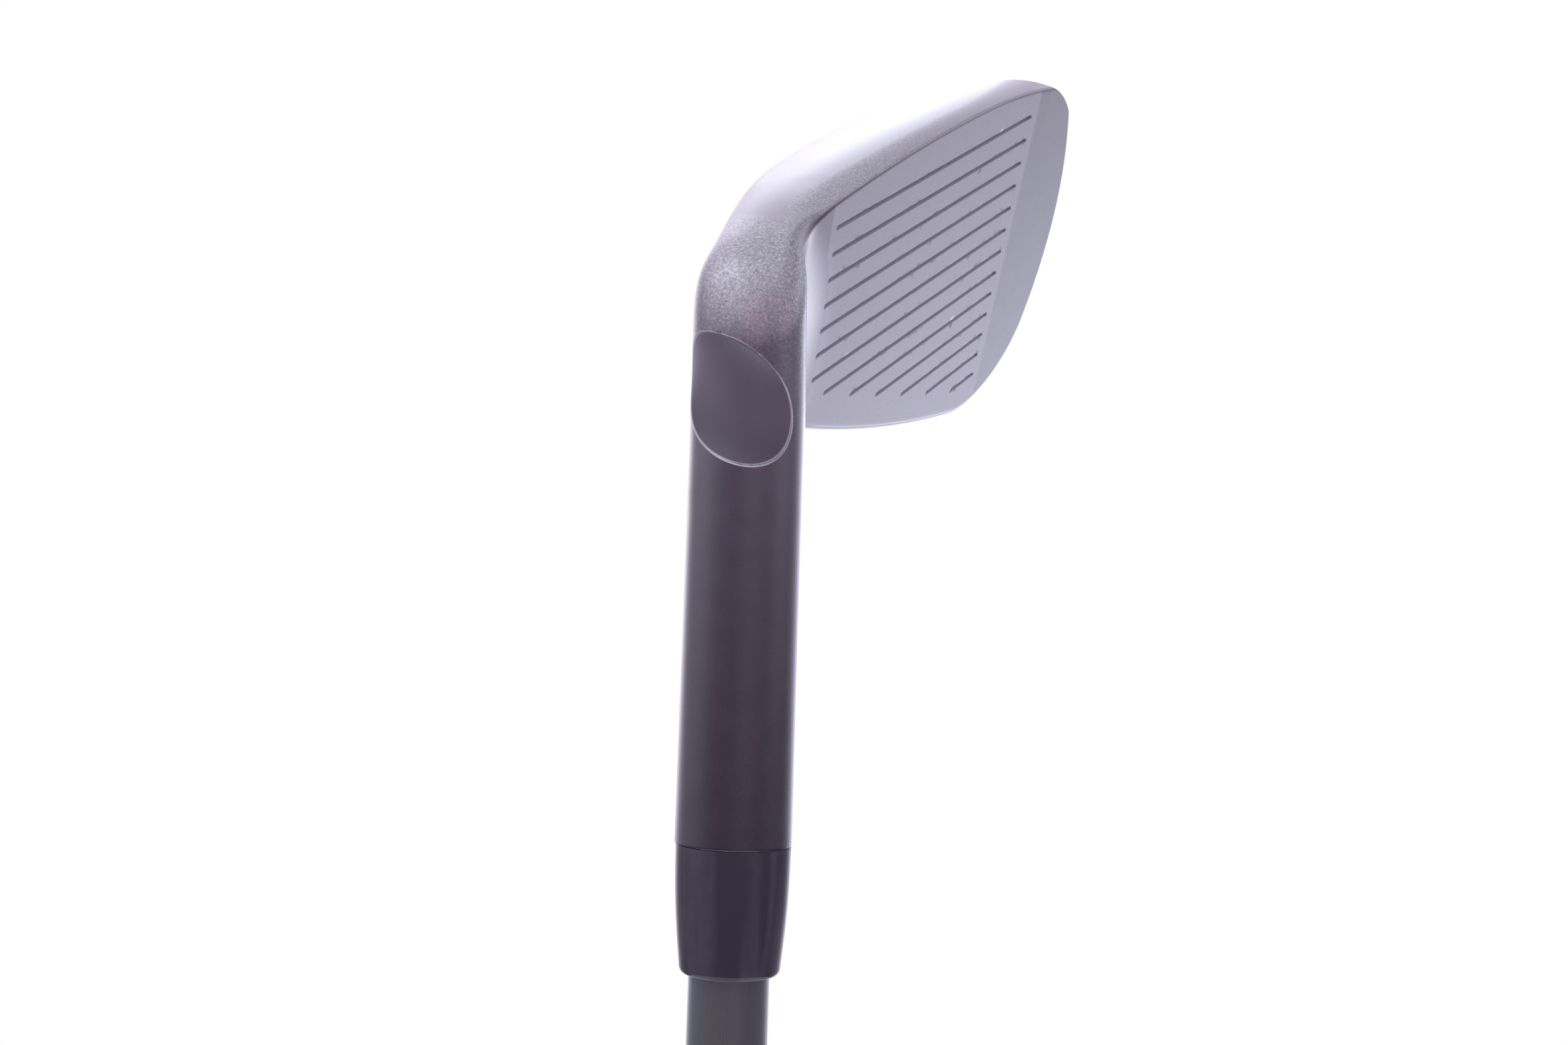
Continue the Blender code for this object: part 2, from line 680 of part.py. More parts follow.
def grip_radius(height):
    """Outer radius of the grip: a fast taper near the butt and a slow one towards the mouth."""
    k = height / GRIP_LENGTH
    return GRIP_MOUTH_RADIUS + (GRIP_BUTT_RADIUS - GRIP_MOUTH_RADIUS) * (1.0 - k) ** GRIP_TAPER_POWER


def make_grip(material):
    inner = BUTT_RADIUS + 2.0 * CLEARANCE + TAPE_THICKNESS
    low = CAP_THICKNESS + CLEARANCE
    profile = [(grip_radius(0.0) - 0.4, low)]
    for height in np.linspace(low + 0.4, GRIP_LENGTH - 2.0, 14):
        profile.append((grip_radius(height), height))
    profile.append((grip_radius(GRIP_LENGTH) - 0.3, GRIP_LENGTH - 0.6))
    profile.append((inner, GRIP_LENGTH))
    profile.append((inner, low))
    return turned("grip", profile, material)


def make_grip_cap(material):
    rim = GRIP_BUTT_RADIUS
    profile = [(0.0, CAP_THICKNESS), (rim - 0.4, CAP_THICKNESS), (rim, CAP_THICKNESS - 0.4)]
    for k in np.linspace(0.0, math.pi / 2.0, 5):
        profile.append((rim - CAP_EDGE + CAP_EDGE * math.cos(k), CAP_EDGE - CAP_EDGE * math.sin(k)))
    profile.append((0.0, 0.0))
    cap = turned("grip_cap", profile, material)
    bm = bmesh.new()
    outline = []
    for k in range(16):
        angle = 2.0 * math.pi * k / 16
        outline.append((VENT_OFFSET + VENT_RADIUS * math.cos(angle), VENT_RADIUS * math.sin(angle)))
    add_prism(bm, outline, lambda a, b: (a * MM, b * MM, -2.0 * MM),
              lambda a, b: (a * MM, b * MM, (CAP_THICKNESS + 2.0) * MM))
    cut_with(cap, finish_object(bm, "vent_cutter"))
    return cap


def build_club():
    steel = make_material("blasted_steel", (0.42, 0.41, 0.46), 0.38, 1.0)
    tungsten = make_material("weight_metal", (0.30, 0.29, 0.30), 0.40, 1.0)
    elastomer = make_material("elastomer", (0.03, 0.03, 0.035), 0.65, 0.0)
    badge = make_material("badge_metal", (0.35, 0.35, 0.38), 0.30, 1.0)
    gloss_black = make_material("gloss_black", (0.03, 0.03, 0.05), 0.15, 0.0)
    shaft_paint = make_material("shaft_paint", (0.09, 0.09, 0.12), 0.30, 0.6)
    brass = make_material("brass", (0.65, 0.48, 0.22), 0.35, 1.0)
    tape = make_material("tape", (0.75, 0.70, 0.55), 0.80, 0.0)
    rubber = make_material("rubber", (0.025, 0.025, 0.028), 0.75, 0.0)

    make_head(steel)
    make_toe_weight(tungsten)
    pad_low = CAVITY_FLOOR + CLEARANCE
    badge_low = pad_low + PAD_THICKNESS + CLEARANCE
    make_plate("damping_pad", pad_low, pad_low + PAD_THICKNESS, 0.0, elastomer)
    make_plate("cavity_badge", badge_low, badge_low + BADGE_THICKNESS, 0.6, badge)
    make_ferrule(gloss_black)
    make_shaft(shaft_paint)
    make_weight_pin(brass)
    make_grip_tape(tape)
    make_grip(rubber)
    make_grip_cap(rubber)


clear_scene()
build_club()
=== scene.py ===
"""Looks of the iron golf club: fine meshes, procedural materials, studio and camera.

The frame is the CAD model's: +Z runs up the shaft from the grip's flat end to the head, +X points from
the shaft towards the toe and -Y towards the target. Head shapes are worked out in millimetres in the
head's own frame (x towards the toe, y up from the ground, t towards the target), as in the CAD source.
"""

import math

import bmesh
import bpy
import numpy as np
from mathutils import Matrix, Vector


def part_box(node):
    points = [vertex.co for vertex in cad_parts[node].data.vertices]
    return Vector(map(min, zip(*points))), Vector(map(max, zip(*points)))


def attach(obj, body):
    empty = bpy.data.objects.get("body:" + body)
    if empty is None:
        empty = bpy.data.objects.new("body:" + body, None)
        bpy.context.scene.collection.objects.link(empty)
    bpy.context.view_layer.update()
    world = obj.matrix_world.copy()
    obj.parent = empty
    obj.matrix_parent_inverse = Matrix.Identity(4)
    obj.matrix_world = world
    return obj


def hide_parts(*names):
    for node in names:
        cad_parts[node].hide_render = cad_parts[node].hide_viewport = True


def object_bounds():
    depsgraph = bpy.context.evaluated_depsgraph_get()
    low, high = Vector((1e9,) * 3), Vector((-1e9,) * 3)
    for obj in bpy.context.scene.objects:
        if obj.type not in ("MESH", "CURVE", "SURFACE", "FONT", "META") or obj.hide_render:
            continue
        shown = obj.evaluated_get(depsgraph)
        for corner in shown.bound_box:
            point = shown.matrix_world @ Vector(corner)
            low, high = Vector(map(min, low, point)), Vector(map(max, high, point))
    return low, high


MM = 0.001
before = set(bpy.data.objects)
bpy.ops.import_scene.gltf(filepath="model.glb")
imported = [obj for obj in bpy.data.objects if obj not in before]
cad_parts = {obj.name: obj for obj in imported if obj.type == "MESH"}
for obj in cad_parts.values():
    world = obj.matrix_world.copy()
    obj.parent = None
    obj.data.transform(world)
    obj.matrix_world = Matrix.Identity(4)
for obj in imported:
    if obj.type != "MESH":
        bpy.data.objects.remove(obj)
cad_low, cad_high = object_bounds()

# The club's driving dimensions, in millimetres and degrees
CLUB_LENGTH = 965.2
LOFT = math.radians(26.6)
LIE = math.radians(61.9)
CLEARANCE = 0.3
FACE_ORIGIN = (12.15, 7.28, 1.46)
TOP_CENTRE = (134.9, -239.2)
TOP_RADIUS = 300.0
TOE_REACH = 73.2
TOE_MID_V = 22.0
TOE_DROP = 21.0
TOE_SPAN = 42.0
TOE_CORNER = 14.5
LEAD_LOW_U = 31.8
LEAD_LOW_V = -5.35
LEAD_ANGLE = LOFT + math.radians(50.0)
LEAD_HEEL_RADIUS = 310.0
LEAD_TOE_RADIUS = 150.0
LEAD_EDGE_ROUND = 0.8
RIM_DEPTH = 6.4
SOLE_CENTRE_X = 41.0
SOLE_ROUND_REACH = 28.0
SOLE_HEEL_RADIUS = 330.0
SOLE_TOE_RADIUS = 420.0
SOLE_LOW_T = -6.0
SOLE_FRONT_RADIUS = 21.0
SOLE_BACK_RADIUS = 62.0
SOLE_HEEL_EXTRA = 24.0
TRAILING_T = -18.6
TRAILING_CURVE = 0.0069
TOE_SOLE_ROUND = 11.5
HOSEL_RADIUS = 6.53
HOSEL_END_RADIUS = 6.70
HOSEL_TOP_S = 72.7
HOSEL_EDGE = ((0.02, 0.02), (0.08, 0.0))
HOSEL_EDGE_RISE = 0.07
HOSEL_EDGE_SUPPORT = 0.2
HOSEL_TAPER_S = 28.0
NECK_SWELL = 0.08
NECK_SHIFT = (0.2, 0.3)
BORE_RADIUS = 5.0
BORE_BOTTOM_S = 37.0
CROTCH = (-1.94, 36.8)
NECK_FILLET = 15.0
NECK_BACK_ANGLE = math.radians(24.0)
NECK_OUTLINE_BLEND = 9.0
NECK_BACK_BLEND = 10.0
NOTCH_S = 22.57
NOTCH_HALF_LENGTH = 6.8
NOTCH_DEPTH = 1.3
NOTCH_FLOOR_RADIUS = 7.7
NOTCH_TURN = math.radians(15.9)
NOTCH_TILT = math.radians(23.0)
NOTCH_OUTER_RADIUS = 12.0
NOTCH_SWEEP = math.radians(124.0)
GROOVE_COUNT = 13
GROOVE_PITCH = 3.56
GROOVE_WIDTH = 0.75
GROOVE_DEPTH = 0.45
GROOVE_TOE_U = 53.8
GROOVE_FULL_COUNT = 7
GROOVE_STEP_U = 3.9
GROOVE_STEP_GAP = 7.7
GROOVE_STEP_GROWTH = 0.35
BLAST_HEEL_U = -1.2
BLAST_TOE_U = 55.5
FLANGE_EDGE = (17.0, 7.0)
FLANGE_SLOPE = (0.68, 0.73)
FLANGE_BLEND = 4.0
CAVITY_FLOOR = 3.1
CAVITY_LOW_V = 15.0
CAVITY_HEEL_U = 11.0
CAVITY_MARGIN = 5.5
CAVITY_FILLET = 0.8
PLUG_PLACE = (58.5, 8.6)
PLUG_RADIUS = 4.0
PLUG_DEPTH = 6.0
PLUG_SUNK = 0.6
SOCKET_RADIUS = 1.75
SOCKET_DEPTH = 2.2
BADGE_LOW = (20.0, 15.4)
BADGE_HIGH = (58.0, 29.0)
PAD_THICKNESS = 1.8
BADGE_THICKNESS = 0.8

SHAFT_UP = (-math.cos(LIE), math.sin(LIE))

# Depths down a score line, with the share of its full width at each
GROOVE_LAYERS = ((-0.5, 1.06), (0.0, 1.0), (0.09, 0.82), (0.36, 0.62), (GROOVE_DEPTH, 0.44))

# Resolution of the head's surface
HOSEL_STATIONS = 14
HEEL_STATIONS = 110
BLADE_STATIONS = 190
SECTION_POINTS = 280
SECTION_RAYS = 1080
HEEL_PASSES = 270


def smooth_step(start, end, value):
    k = np.clip((value - start) / (end - start), 0.0, 1.0)
    return k * k * (3.0 - 2.0 * k)


def round_union(a, b, radius):
    u = np.maximum(radius - a, 0.0)
    v = np.maximum(radius - b, 0.0)
    return np.maximum(radius, np.minimum(a, b)) - np.hypot(u, v)


def round_cut(a, b, radius):
    u = np.maximum(radius + a, 0.0)
    v = np.maximum(radius + b, 0.0)
    return np.minimum(-radius, np.maximum(a, b)) + np.hypot(u, v)


def head_to_world(points):
    """Turn (x, y, t) in millimetres into frame metres."""
    x, y, t = np.moveaxis(np.asarray(points, float), -1, 0)
    along = SHAFT_UP[0] * x + SHAFT_UP[1] * y
    across = SHAFT_UP[1] * x - SHAFT_UP[0] * y
    return np.stack([across, -t, CLUB_LENGTH - along], axis=-1) * MM


def face_to_head(u, v, w):
    return (
        FACE_ORIGIN[0] + u,
        FACE_ORIGIN[1] + math.cos(LOFT) * v - math.sin(LOFT) * w,
        FACE_ORIGIN[2] - math.sin(LOFT) * v - math.cos(LOFT) * w,
    )


def head_to_face(x, y, t):
    rise = y - FACE_ORIGIN[1]
    reach = t - FACE_ORIGIN[2]
    u = x - FACE_ORIGIN[0]
    v = math.cos(LOFT) * rise - math.sin(LOFT) * reach
    w = -(math.sin(LOFT) * rise + math.cos(LOFT) * reach)
    return u, v, w


# The head's outer surface

def sole_height(x, t):
    """Height of the sole: a rocker from heel to toe and a camber from front to back."""
    side = np.abs(x - SOLE_CENTRE_X)
    near = np.minimum(side, SOLE_ROUND_REACH)
    rocker_radius = np.where(x < SOLE_CENTRE_X, SOLE_HEEL_RADIUS, SOLE_TOE_RADIUS)
    rocker = near * near / (2.0 * rocker_radius) + (side - near) * SOLE_ROUND_REACH / rocker_radius
    front = t - SOLE_LOW_T
    front_radius = SOLE_FRONT_RADIUS + SOLE_HEEL_EXTRA * (1.0 - smooth_step(1.0, 13.0, x))
    camber = front * front / (2.0 * np.where(front > 0, front_radius, SOLE_BACK_RADIUS))
    return rocker + camber


def trailing_edge(x):
    """Where the sole ends at the back, as t against x."""
    curve = TRAILING_T + TRAILING_CURVE * np.clip(45.0 - x, -60.0, 60.0) ** 2
    return np.minimum(curve, -6.2 - 2.2 * smooth_step(-8.0, 6.0, x))


def neck_front(across, t, along, radius, round_side, shift_across, shift_t):
    """Target side of the neck: the cylinder rolled into the face plane with one fillet radius.

    across and t are measured from the neck's centre, which the shifts move off the shaft axis.
    """
    slope = math.sin(LOFT) * SHAFT_UP[0]
    scale = math.hypot(slope, math.cos(LOFT))
    normal_across = -slope / scale
    normal_t = math.cos(LOFT) / scale
    rise = SHAFT_UP[1] * along - FACE_ORIGIN[1]
    plane_offset = (math.cos(LOFT) * FACE_ORIGIN[2] - math.sin(LOFT) * rise) / scale
    plane_offset = plane_offset + normal_across * shift_across + normal_t * shift_t
    lift = plane_offset + NECK_FILLET
    reach = np.sqrt(np.maximum((radius + NECK_FILLET) ** 2 - lift ** 2, 0.0))
    centre_across = reach * normal_t + lift * normal_across
    centre_t = -reach * normal_across + lift * normal_t
    from_across = across - centre_across
    from_t = t - centre_t
    plane = normal_across * across + normal_t * t - plane_offset
    fillet = NECK_FILLET - np.hypot(from_across, from_t)
    past_plane = from_across * normal_t - from_t * normal_across > 0
    past_neck = centre_across * t - centre_t * across > 0
    fillet = np.where(past_plane, plane, fillet)
    return np.where(past_neck, round_side, fillet)


def head_distance(x, y, t):
    """Signed distance to the head's outer surface: negative inside the metal."""
    u, v, w = head_to_face(x, y, t)
    along = SHAFT_UP[0] * x + SHAFT_UP[1] * y
    across = SHAFT_UP[1] * x - SHAFT_UP[0] * y

    taper = np.clip((along - HOSEL_TAPER_S) / (HOSEL_TOP_S - HOSEL_TAPER_S), 0.0, 1.0)
    low = 1.0 - smooth_step(8.0, HOSEL_TAPER_S, along)
    radius = HOSEL_RADIUS + (HOSEL_END_RADIUS - HOSEL_RADIUS) * taper + NECK_SWELL * low
    shift_across = NECK_SHIFT[0] * low
    shift_t = NECK_SHIFT[1] * low
    across = across + shift_across
    t_neck = t + shift_t
    neck = np.hypot(across, t_neck) - radius

    top = np.hypot(u - TOP_CENTRE[0], v - TOP_CENTRE[1]) - TOP_RADIUS
    toe_k = (v - TOE_MID_V) / TOE_SPAN
    toe = (u - TOE_REACH + TOE_DROP * toe_k * toe_k) / np.sqrt(1.0 + toe_k * toe_k)
    outline = round_cut(top, toe, TOE_CORNER)

    sole = (sole_height(x, t) - y) * 0.97
    edge_t = trailing_edge(x)
    heel_relief = np.clip(8.0 - x, 0.0, 30.0)
    trailing = -(t - edge_t) * 0.75 - (y - sole_height(x, edge_t)) * 0.66 - heel_relief
    lead_radius = np.where(u < LEAD_LOW_U, LEAD_HEEL_RADIUS, LEAD_TOE_RADIUS)
    lead_v = LEAD_LOW_V + (u - LEAD_LOW_U) ** 2 / (2.0 * lead_radius)
    lead_band = -w * math.cos(LEAD_ANGLE) - (v - lead_v) * math.sin(LEAD_ANGLE)
    flange = (w - FLANGE_EDGE[1]) * FLANGE_SLOPE[1] + (v - FLANGE_EDGE[0]) * FLANGE_SLOPE[0]
    blade = round_union(w - RIM_DEPTH, flange, FLANGE_BLEND)

    off_neck = smooth_step(0.0, 6.0, neck) + 0.001
    front = neck_front(across, t_neck, along, radius, neck, shift_across, shift_t)
    sweep = -math.cos(NECK_BACK_ANGLE) * t_neck - math.sin(NECK_BACK_ANGLE) * across - radius
    upper = round_cut(front, round_union(neck, outline, NECK_OUTLINE_BLEND), off_neck)
    upper = round_cut(upper, round_union(neck, blade, NECK_BACK_BLEND), 1.2 * off_neck)
    upper = round_cut(upper, sweep, 6.0 * smooth_step(0.0, 8.0, neck) + 0.001)
    heel_side = np.minimum(neck, -across - radius * math.sin(NECK_BACK_ANGLE))
    upper = np.maximum(upper, heel_side)

    lower = round_cut(sole, trailing, 1.2 + 2.5 * (1.0 - smooth_step(-6.0, 14.0, x)))
    lower = round_cut(lower, lead_band, LEAD_EDGE_ROUND)
    heel_round = 4.0 - 1.6 * smooth_step(0.0, 6.0, t)
    edge_round = 0.4 + heel_round * (1.0 - smooth_step(-6.0, 12.0, x))
    distance = round_cut(upper, lower, edge_round)
    return np.maximum(distance, round_cut(toe, sole, TOE_SOLE_ROUND))


def section_planes():
    """Planes that cut the head from the hosel's end, round the heel, to the toe."""
    planes = []
    crotch = np.array(CROTCH)
    crotch_s = SHAFT_UP[0] * crotch[0] + SHAFT_UP[1] * crotch[1]
    for along in np.linspace(HOSEL_TOP_S, crotch_s, HOSEL_STATIONS, endpoint=False):
        planes.append((SHAFT_UP[0] * along, SHAFT_UP[1] * along, 0.0, SHAFT_UP[1], -SHAFT_UP[0]))
    first_angle = math.pi + math.atan2(-SHAFT_UP[0], SHAFT_UP[1])
    for turn in np.linspace(0.0, 1.0, HEEL_STATIONS, endpoint=False):
        angle = first_angle + turn * LIE
        outward = np.array([math.cos(angle), math.sin(angle)])
        k = float(smooth_step(0.0, 1.0, turn))
        centre = crotch + outward * (15.6 + 8.2 * k)
        planes.append((centre[0], centre[1], -3.0 * k, -outward[0], -outward[1]))
    toe_x = FACE_ORIGIN[0] + TOE_REACH - 0.5
    for k in np.linspace(0.0, 1.0, BLADE_STATIONS):
        x = crotch[0] + (toe_x - crotch[0]) * math.sin(k * math.pi / 2)
        inward = float(smooth_step(crotch[0], 22.0, x))
        toeward = float(smooth_step(55.0, 82.0, x))
        y = 13.0 + 7.5 * inward
        y += (25.4 - y) * toeward
        face_t = FACE_ORIGIN[2] - (y - FACE_ORIGIN[1]) * math.tan(LOFT)
        t = -3.0 * (1.0 - inward) + (face_t - 3.4) * inward
        planes.append((x, y, t, 0.0, 1.0))
    return planes


def surface_reach(distance_at, count):
    """How far each ray goes before it leaves the metal."""
    outside = np.full(count, 70.0)
    inside = np.zeros(count)
    found = np.zeros(count, bool)
    for reach in np.arange(0.6, 70.0, 0.6):
        fresh = (distance_at(np.full(count, reach)) > 0.0) & ~found
        outside[fresh] = reach
        inside[fresh] = reach - 0.6
        found |= fresh
        if found.all():
            break
    for _ in range(20):
        middle = (inside + outside) / 2.0
        within = distance_at(middle) <= 0.0
        inside = np.where(within, middle, inside)
        outside = np.where(within, outside, middle)
    return inside


def section_outline(plane):
    """Points round one section, spread evenly over length and turning."""
    centre_x, centre_y, centre_t, dir_x, dir_y = plane

    def rays(theta):
        cosine = np.cos(theta)
        sine = np.sin(theta)

        def distance_at(reach):
            step = cosine * reach
            return head_distance(centre_x + dir_x * step, centre_y + dir_y * step,
                                 centre_t + sine * reach)

        reach = surface_reach(distance_at, len(theta))
        return np.stack([cosine * reach, sine * reach], axis=1)

    theta = np.linspace(0.0, 2.0 * math.pi, SECTION_RAYS, endpoint=False)
    ring = rays(theta)
    closed = np.vstack([ring, ring[:1]])
    edges = np.diff(closed, axis=0)
    length = np.linalg.norm(edges, axis=1)
    heading = np.unwrap(np.arctan2(edges[:, 1], edges[:, 0]))
    turning = np.abs(np.diff(np.append(heading, heading[0] + 2.0 * math.pi)))
    turning = np.minimum(turning, 0.3)
    turning = 0.5 * (turning + np.roll(turning, 1))
    weight = 0.62 * length / length.sum() + 0.38 * turning / turning.sum()
    travelled = np.concatenate([[0.0], np.cumsum(weight)])
    travelled /= travelled[-1]
    wanted = np.linspace(0.0, 1.0, SECTION_POINTS, endpoint=False)
    angles = np.interp(wanted, travelled, np.append(theta, 2.0 * math.pi))
    ring = rays(angles)
    step = ring[:, 0]
    return np.stack([centre_x + dir_x * step, centre_y + dir_y * step, centre_t + ring[:, 1]], axis=1)


def smooth_heel(sections):
    """Blend the heel's back, where the round neck runs into the sole, by averaging neighbours."""
    x = sections[..., 0]
    y = sections[..., 1]
    t = sections[..., 2]
    along = SHAFT_UP[0] * x + SHAFT_UP[1] * y
    share = 0.7 * (1.0 - smooth_step(-3.0, 2.5, t)) * (1.0 - smooth_step(3.0, 16.0, x))
    share = share * (1.0 - smooth_step(17.0, 25.0, along))
    for _ in range(HEEL_PASSES):
        before = np.concatenate([sections[:1], sections[:-1]])
        after = np.concatenate([sections[1:], sections[-1:]])
        beside = np.roll(sections, 1, axis=1) + np.roll(sections, -1, axis=1)
        mean = (before + after + beside) / 4.0
        sections = sections + share[..., None] * (mean - sections)
    return sections


# Mesh helpers

def new_object(name, mesh):
    thing = bpy.data.objects.new(name, mesh)
    bpy.context.scene.collection.objects.link(thing)
    return thing


def grid_mesh(name, rings, closed_along=False):
    """Join rings of points, each closed on itself, into a skin with capped ends."""
    count = len(rings[0])
    points = np.concatenate(rings)
    index = np.arange(len(rings) * count).reshape(len(rings), count)
    if closed_along:
        index = np.vstack([index, index[:1]])
    a = index[:-1]
    b = index[1:]
    quads = np.stack([a, np.roll(a, -1, axis=1), np.roll(b, -1, axis=1), b], axis=-1).reshape(-1, 4)
    faces = quads.tolist()
    if not closed_along:
        faces.append(index[0].tolist()[::-1])
        faces.append(index[-1].tolist())
    mesh = bpy.data.meshes.new(name)
    mesh.from_pydata(points.tolist(), [], faces)
    mesh.update()
    return mesh


def face_outward(mesh):
    bm = bmesh.new()
    bm.from_mesh(mesh)
    bmesh.ops.recalc_face_normals(bm, faces=bm.faces)
    bm.to_mesh(mesh)
    bm.free()


def finish_mesh(thing, sharp_degrees=35.0):
    face_outward(thing.data)
    thing.data.shade_smooth()
    thing.data.set_sharp_from_angle(angle=math.radians(sharp_degrees))


def cut_away(thing, cutters):
    """Cut the cutters out of the mesh for good, and delete them."""
    for cutter in cutters:
        face_outward(cutter.data)
        cut = thing.modifiers.new(cutter.name, "BOOLEAN")
        cut.operation = "DIFFERENCE"
        cut.solver = "EXACT"
        cut.object = cutter
    depsgraph = bpy.context.evaluated_depsgraph_get()
    mesh = bpy.data.meshes.new_from_object(thing.evaluated_get(depsgraph))
    thing.modifiers.clear()
    thing.data = mesh
    for cutter in cutters:
        bpy.data.objects.remove(cutter, do_unlink=True)


def turned_rings(profile, segments):
    """Rings round the Z axis for a (radius, height) profile in millimetres."""
    angle = np.linspace(0.0, 2.0 * math.pi, segments, endpoint=False)
    rings = []
    for radius, height in profile:
        ring = np.stack([radius * np.cos(angle), radius * np.sin(angle), np.full(segments, height)], axis=1)
        rings.append(ring * MM)
    return rings


def turned_tube(name, profile, segments=128):
    """A closed ring-shaped profile turned round the Z axis."""
    return new_object(name, grid_mesh(name, turned_rings(profile, segments), closed_along=True))


def turned_solid(name, profile, segments=128):
    """A profile turned round the Z axis, closed by flat ends."""
    return new_object(name, grid_mesh(name, turned_rings(profile, segments)))


def layered_prism(bm, layers):
    """Skin a stack of outlines with equal numbers of points, and close both ends."""
    rings = [[bm.verts.new(p) for p in layer] for layer in layers]
    count = len(rings[0])
    bm.faces.new(rings[0])
    bm.faces.new(rings[-1])
    for a, b in zip(rings, rings[1:]):
        for i in range(count):
            j = (i + 1) % count
            bm.faces.new((a[i], a[j], b[j], b[i]))


def object_from_bmesh(name, bm):
    mesh = bpy.data.meshes.new(name)
    bm.to_mesh(mesh)
    bm.free()
    return new_object(name, mesh)


def rounded_outline(corners, segments):
    """Round each (a, b, radius) corner of a polygon with an arc."""
    points = []
    count = len(corners)
    for i in range(count):
        here = np.array(corners[i][:2])
        radius = corners[i][2]
        before = np.array(corners[i - 1][:2]) - here
        after = np.array(corners[(i + 1) % count][:2]) - here
        before /= np.linalg.norm(before)
        after /= np.linalg.norm(after)
        half = math.acos(float(np.clip(before @ after, -1.0, 1.0))) / 2.0
        bisector = (before + after) / np.linalg.norm(before + after)
        centre = here + bisector * radius / math.sin(half)
        start = -bisector
        side = np.array([-start[1], start[0]])
        if side @ before < 0:
            side = -side
        sweep = math.pi / 2.0 - half
        for k in np.linspace(1.0, -1.0, segments + 1):
            angle = sweep * k
            points.append(centre + radius * (math.cos(angle) * start + math.sin(angle) * side))
    return np.array(points)


def shrink(outline, inset):
    """Move a convex outline inwards by the inset."""
    ahead = np.roll(outline, -1, axis=0)
    behind = np.roll(outline, 1, axis=0)
    along = ahead - behind
    along /= np.linalg.norm(along, axis=1)[:, None]
    inward = np.stack([-along[:, 1], along[:, 0]], axis=1)
    centre = outline.mean(axis=0)
    flip = np.sign(np.einsum("ij,ij->i", inward, centre - outline))
    return outline + inward * flip[:, None] * inset


def on_face(outline, depth):
    """World points of a (u, v) outline at one depth behind the face."""
    u, v, w = face_to_head(outline[:, 0], outline[:, 1], depth)
    return head_to_world(np.stack([np.broadcast_to(u, w.shape), v, w], axis=1))


def height_of(along):
    return CLUB_LENGTH - along


# Cutters of the head

def score_line_cutter():
    """Grooves with sloping sides and round ends, as a stack of shrinking outlines each."""
    bm = bmesh.new()
    half = GROOVE_WIDTH / 2.0
    for i in range(GROOVE_COUNT):
        v = i * GROOVE_PITCH
        heel_u = 0.0
        if i >= GROOVE_FULL_COUNT:
            step = i - GROOVE_FULL_COUNT
            heel_u = GROOVE_STEP_U + step * GROOVE_STEP_GAP + GROOVE_STEP_GROWTH * step * (step - 1) / 2.0
        layers = []
        for depth, width in GROOVE_LAYERS:
            radius = half * width
            outline = []
            for centre_u, side in ((GROOVE_TOE_U - half, 0.0), (heel_u + half, math.pi)):
                for angle in side + np.linspace(-math.pi / 2.0, math.pi / 2.0, 13):
                    outline.append((centre_u + radius * math.cos(angle), v + radius * math.sin(angle)))
            layers.append(on_face(np.array(outline), depth))
        layered_prism(bm, layers)
    return object_from_bmesh("score_line_cutter", bm)


def top_line(u):
    return TOP_CENTRE[1] + math.sqrt(TOP_RADIUS ** 2 - (u - TOP_CENTRE[0]) ** 2)


def cavity_outline(segments):
    corners = [(CAVITY_HEEL_U, CAVITY_LOW_V, 3.0), (67.0, CAVITY_LOW_V, 5.0), (66.6, 44.0, 11.0)]
    for u in (50.0, 38.0, 25.0):
        corners.append((u, top_line(u) - CAVITY_MARGIN, 20.0))
    corners.append((CAVITY_HEEL_U, top_line(CAVITY_HEEL_U) - CAVITY_MARGIN, 4.0))
    return rounded_outline(corners, segments)


def cavity_cutter():
    """The back pocket, with a small fillet round its floor."""
    outline = cavity_outline(10)
    layers = []
    for k in np.linspace(0.0, math.pi / 2.0, 6):
        layers.append(on_face(shrink(outline, CAVITY_FILLET * (1.0 - math.sin(k))),
                              CAVITY_FLOOR + CAVITY_FILLET * (1.0 - math.cos(k))))
    layers.append(on_face(outline, CAVITY_FLOOR + 20.0))
    bm = bmesh.new()
    layered_prism(bm, layers)
    return object_from_bmesh("cavity_cutter", bm)


def plug_points(radius, depth, sides):
    """A circle or polygon square to the back flange, at one depth out of it."""
    u, v = PLUG_PLACE
    w = FLANGE_EDGE[1] + (FLANGE_EDGE[0] - v) * FLANGE_SLOPE[0] / FLANGE_SLOPE[1]
    length = math.hypot(*FLANGE_SLOPE)
    out_v = FLANGE_SLOPE[0] / length
    out_w = FLANGE_SLOPE[1] / length
    angle = np.linspace(0.0, 2.0 * math.pi, sides, endpoint=False)
    a = radius * np.cos(angle)
    b = radius * np.sin(angle)
    x, y, t = face_to_head(u + a, v + out_v * depth + out_w * b, w + out_w * depth - out_v * b)
    return head_to_world(np.stack([x, y, t], axis=1))


def plug_stack(name, layers, sides):
    bm = bmesh.new()
    layered_prism(bm, [plug_points(radius, depth, sides) for radius, depth in layers])
    return object_from_bmesh(name, bm)


def notch_centre():
    offset = NOTCH_FLOOR_RADIUS - (HOSEL_RADIUS - NOTCH_DEPTH)
    return offset * math.cos(NOTCH_TURN), offset * math.sin(NOTCH_TURN)


def notch_arc_radius():
    return (NOTCH_HALF_LENGTH ** 2 + NOTCH_DEPTH ** 2) / (2.0 * NOTCH_DEPTH)


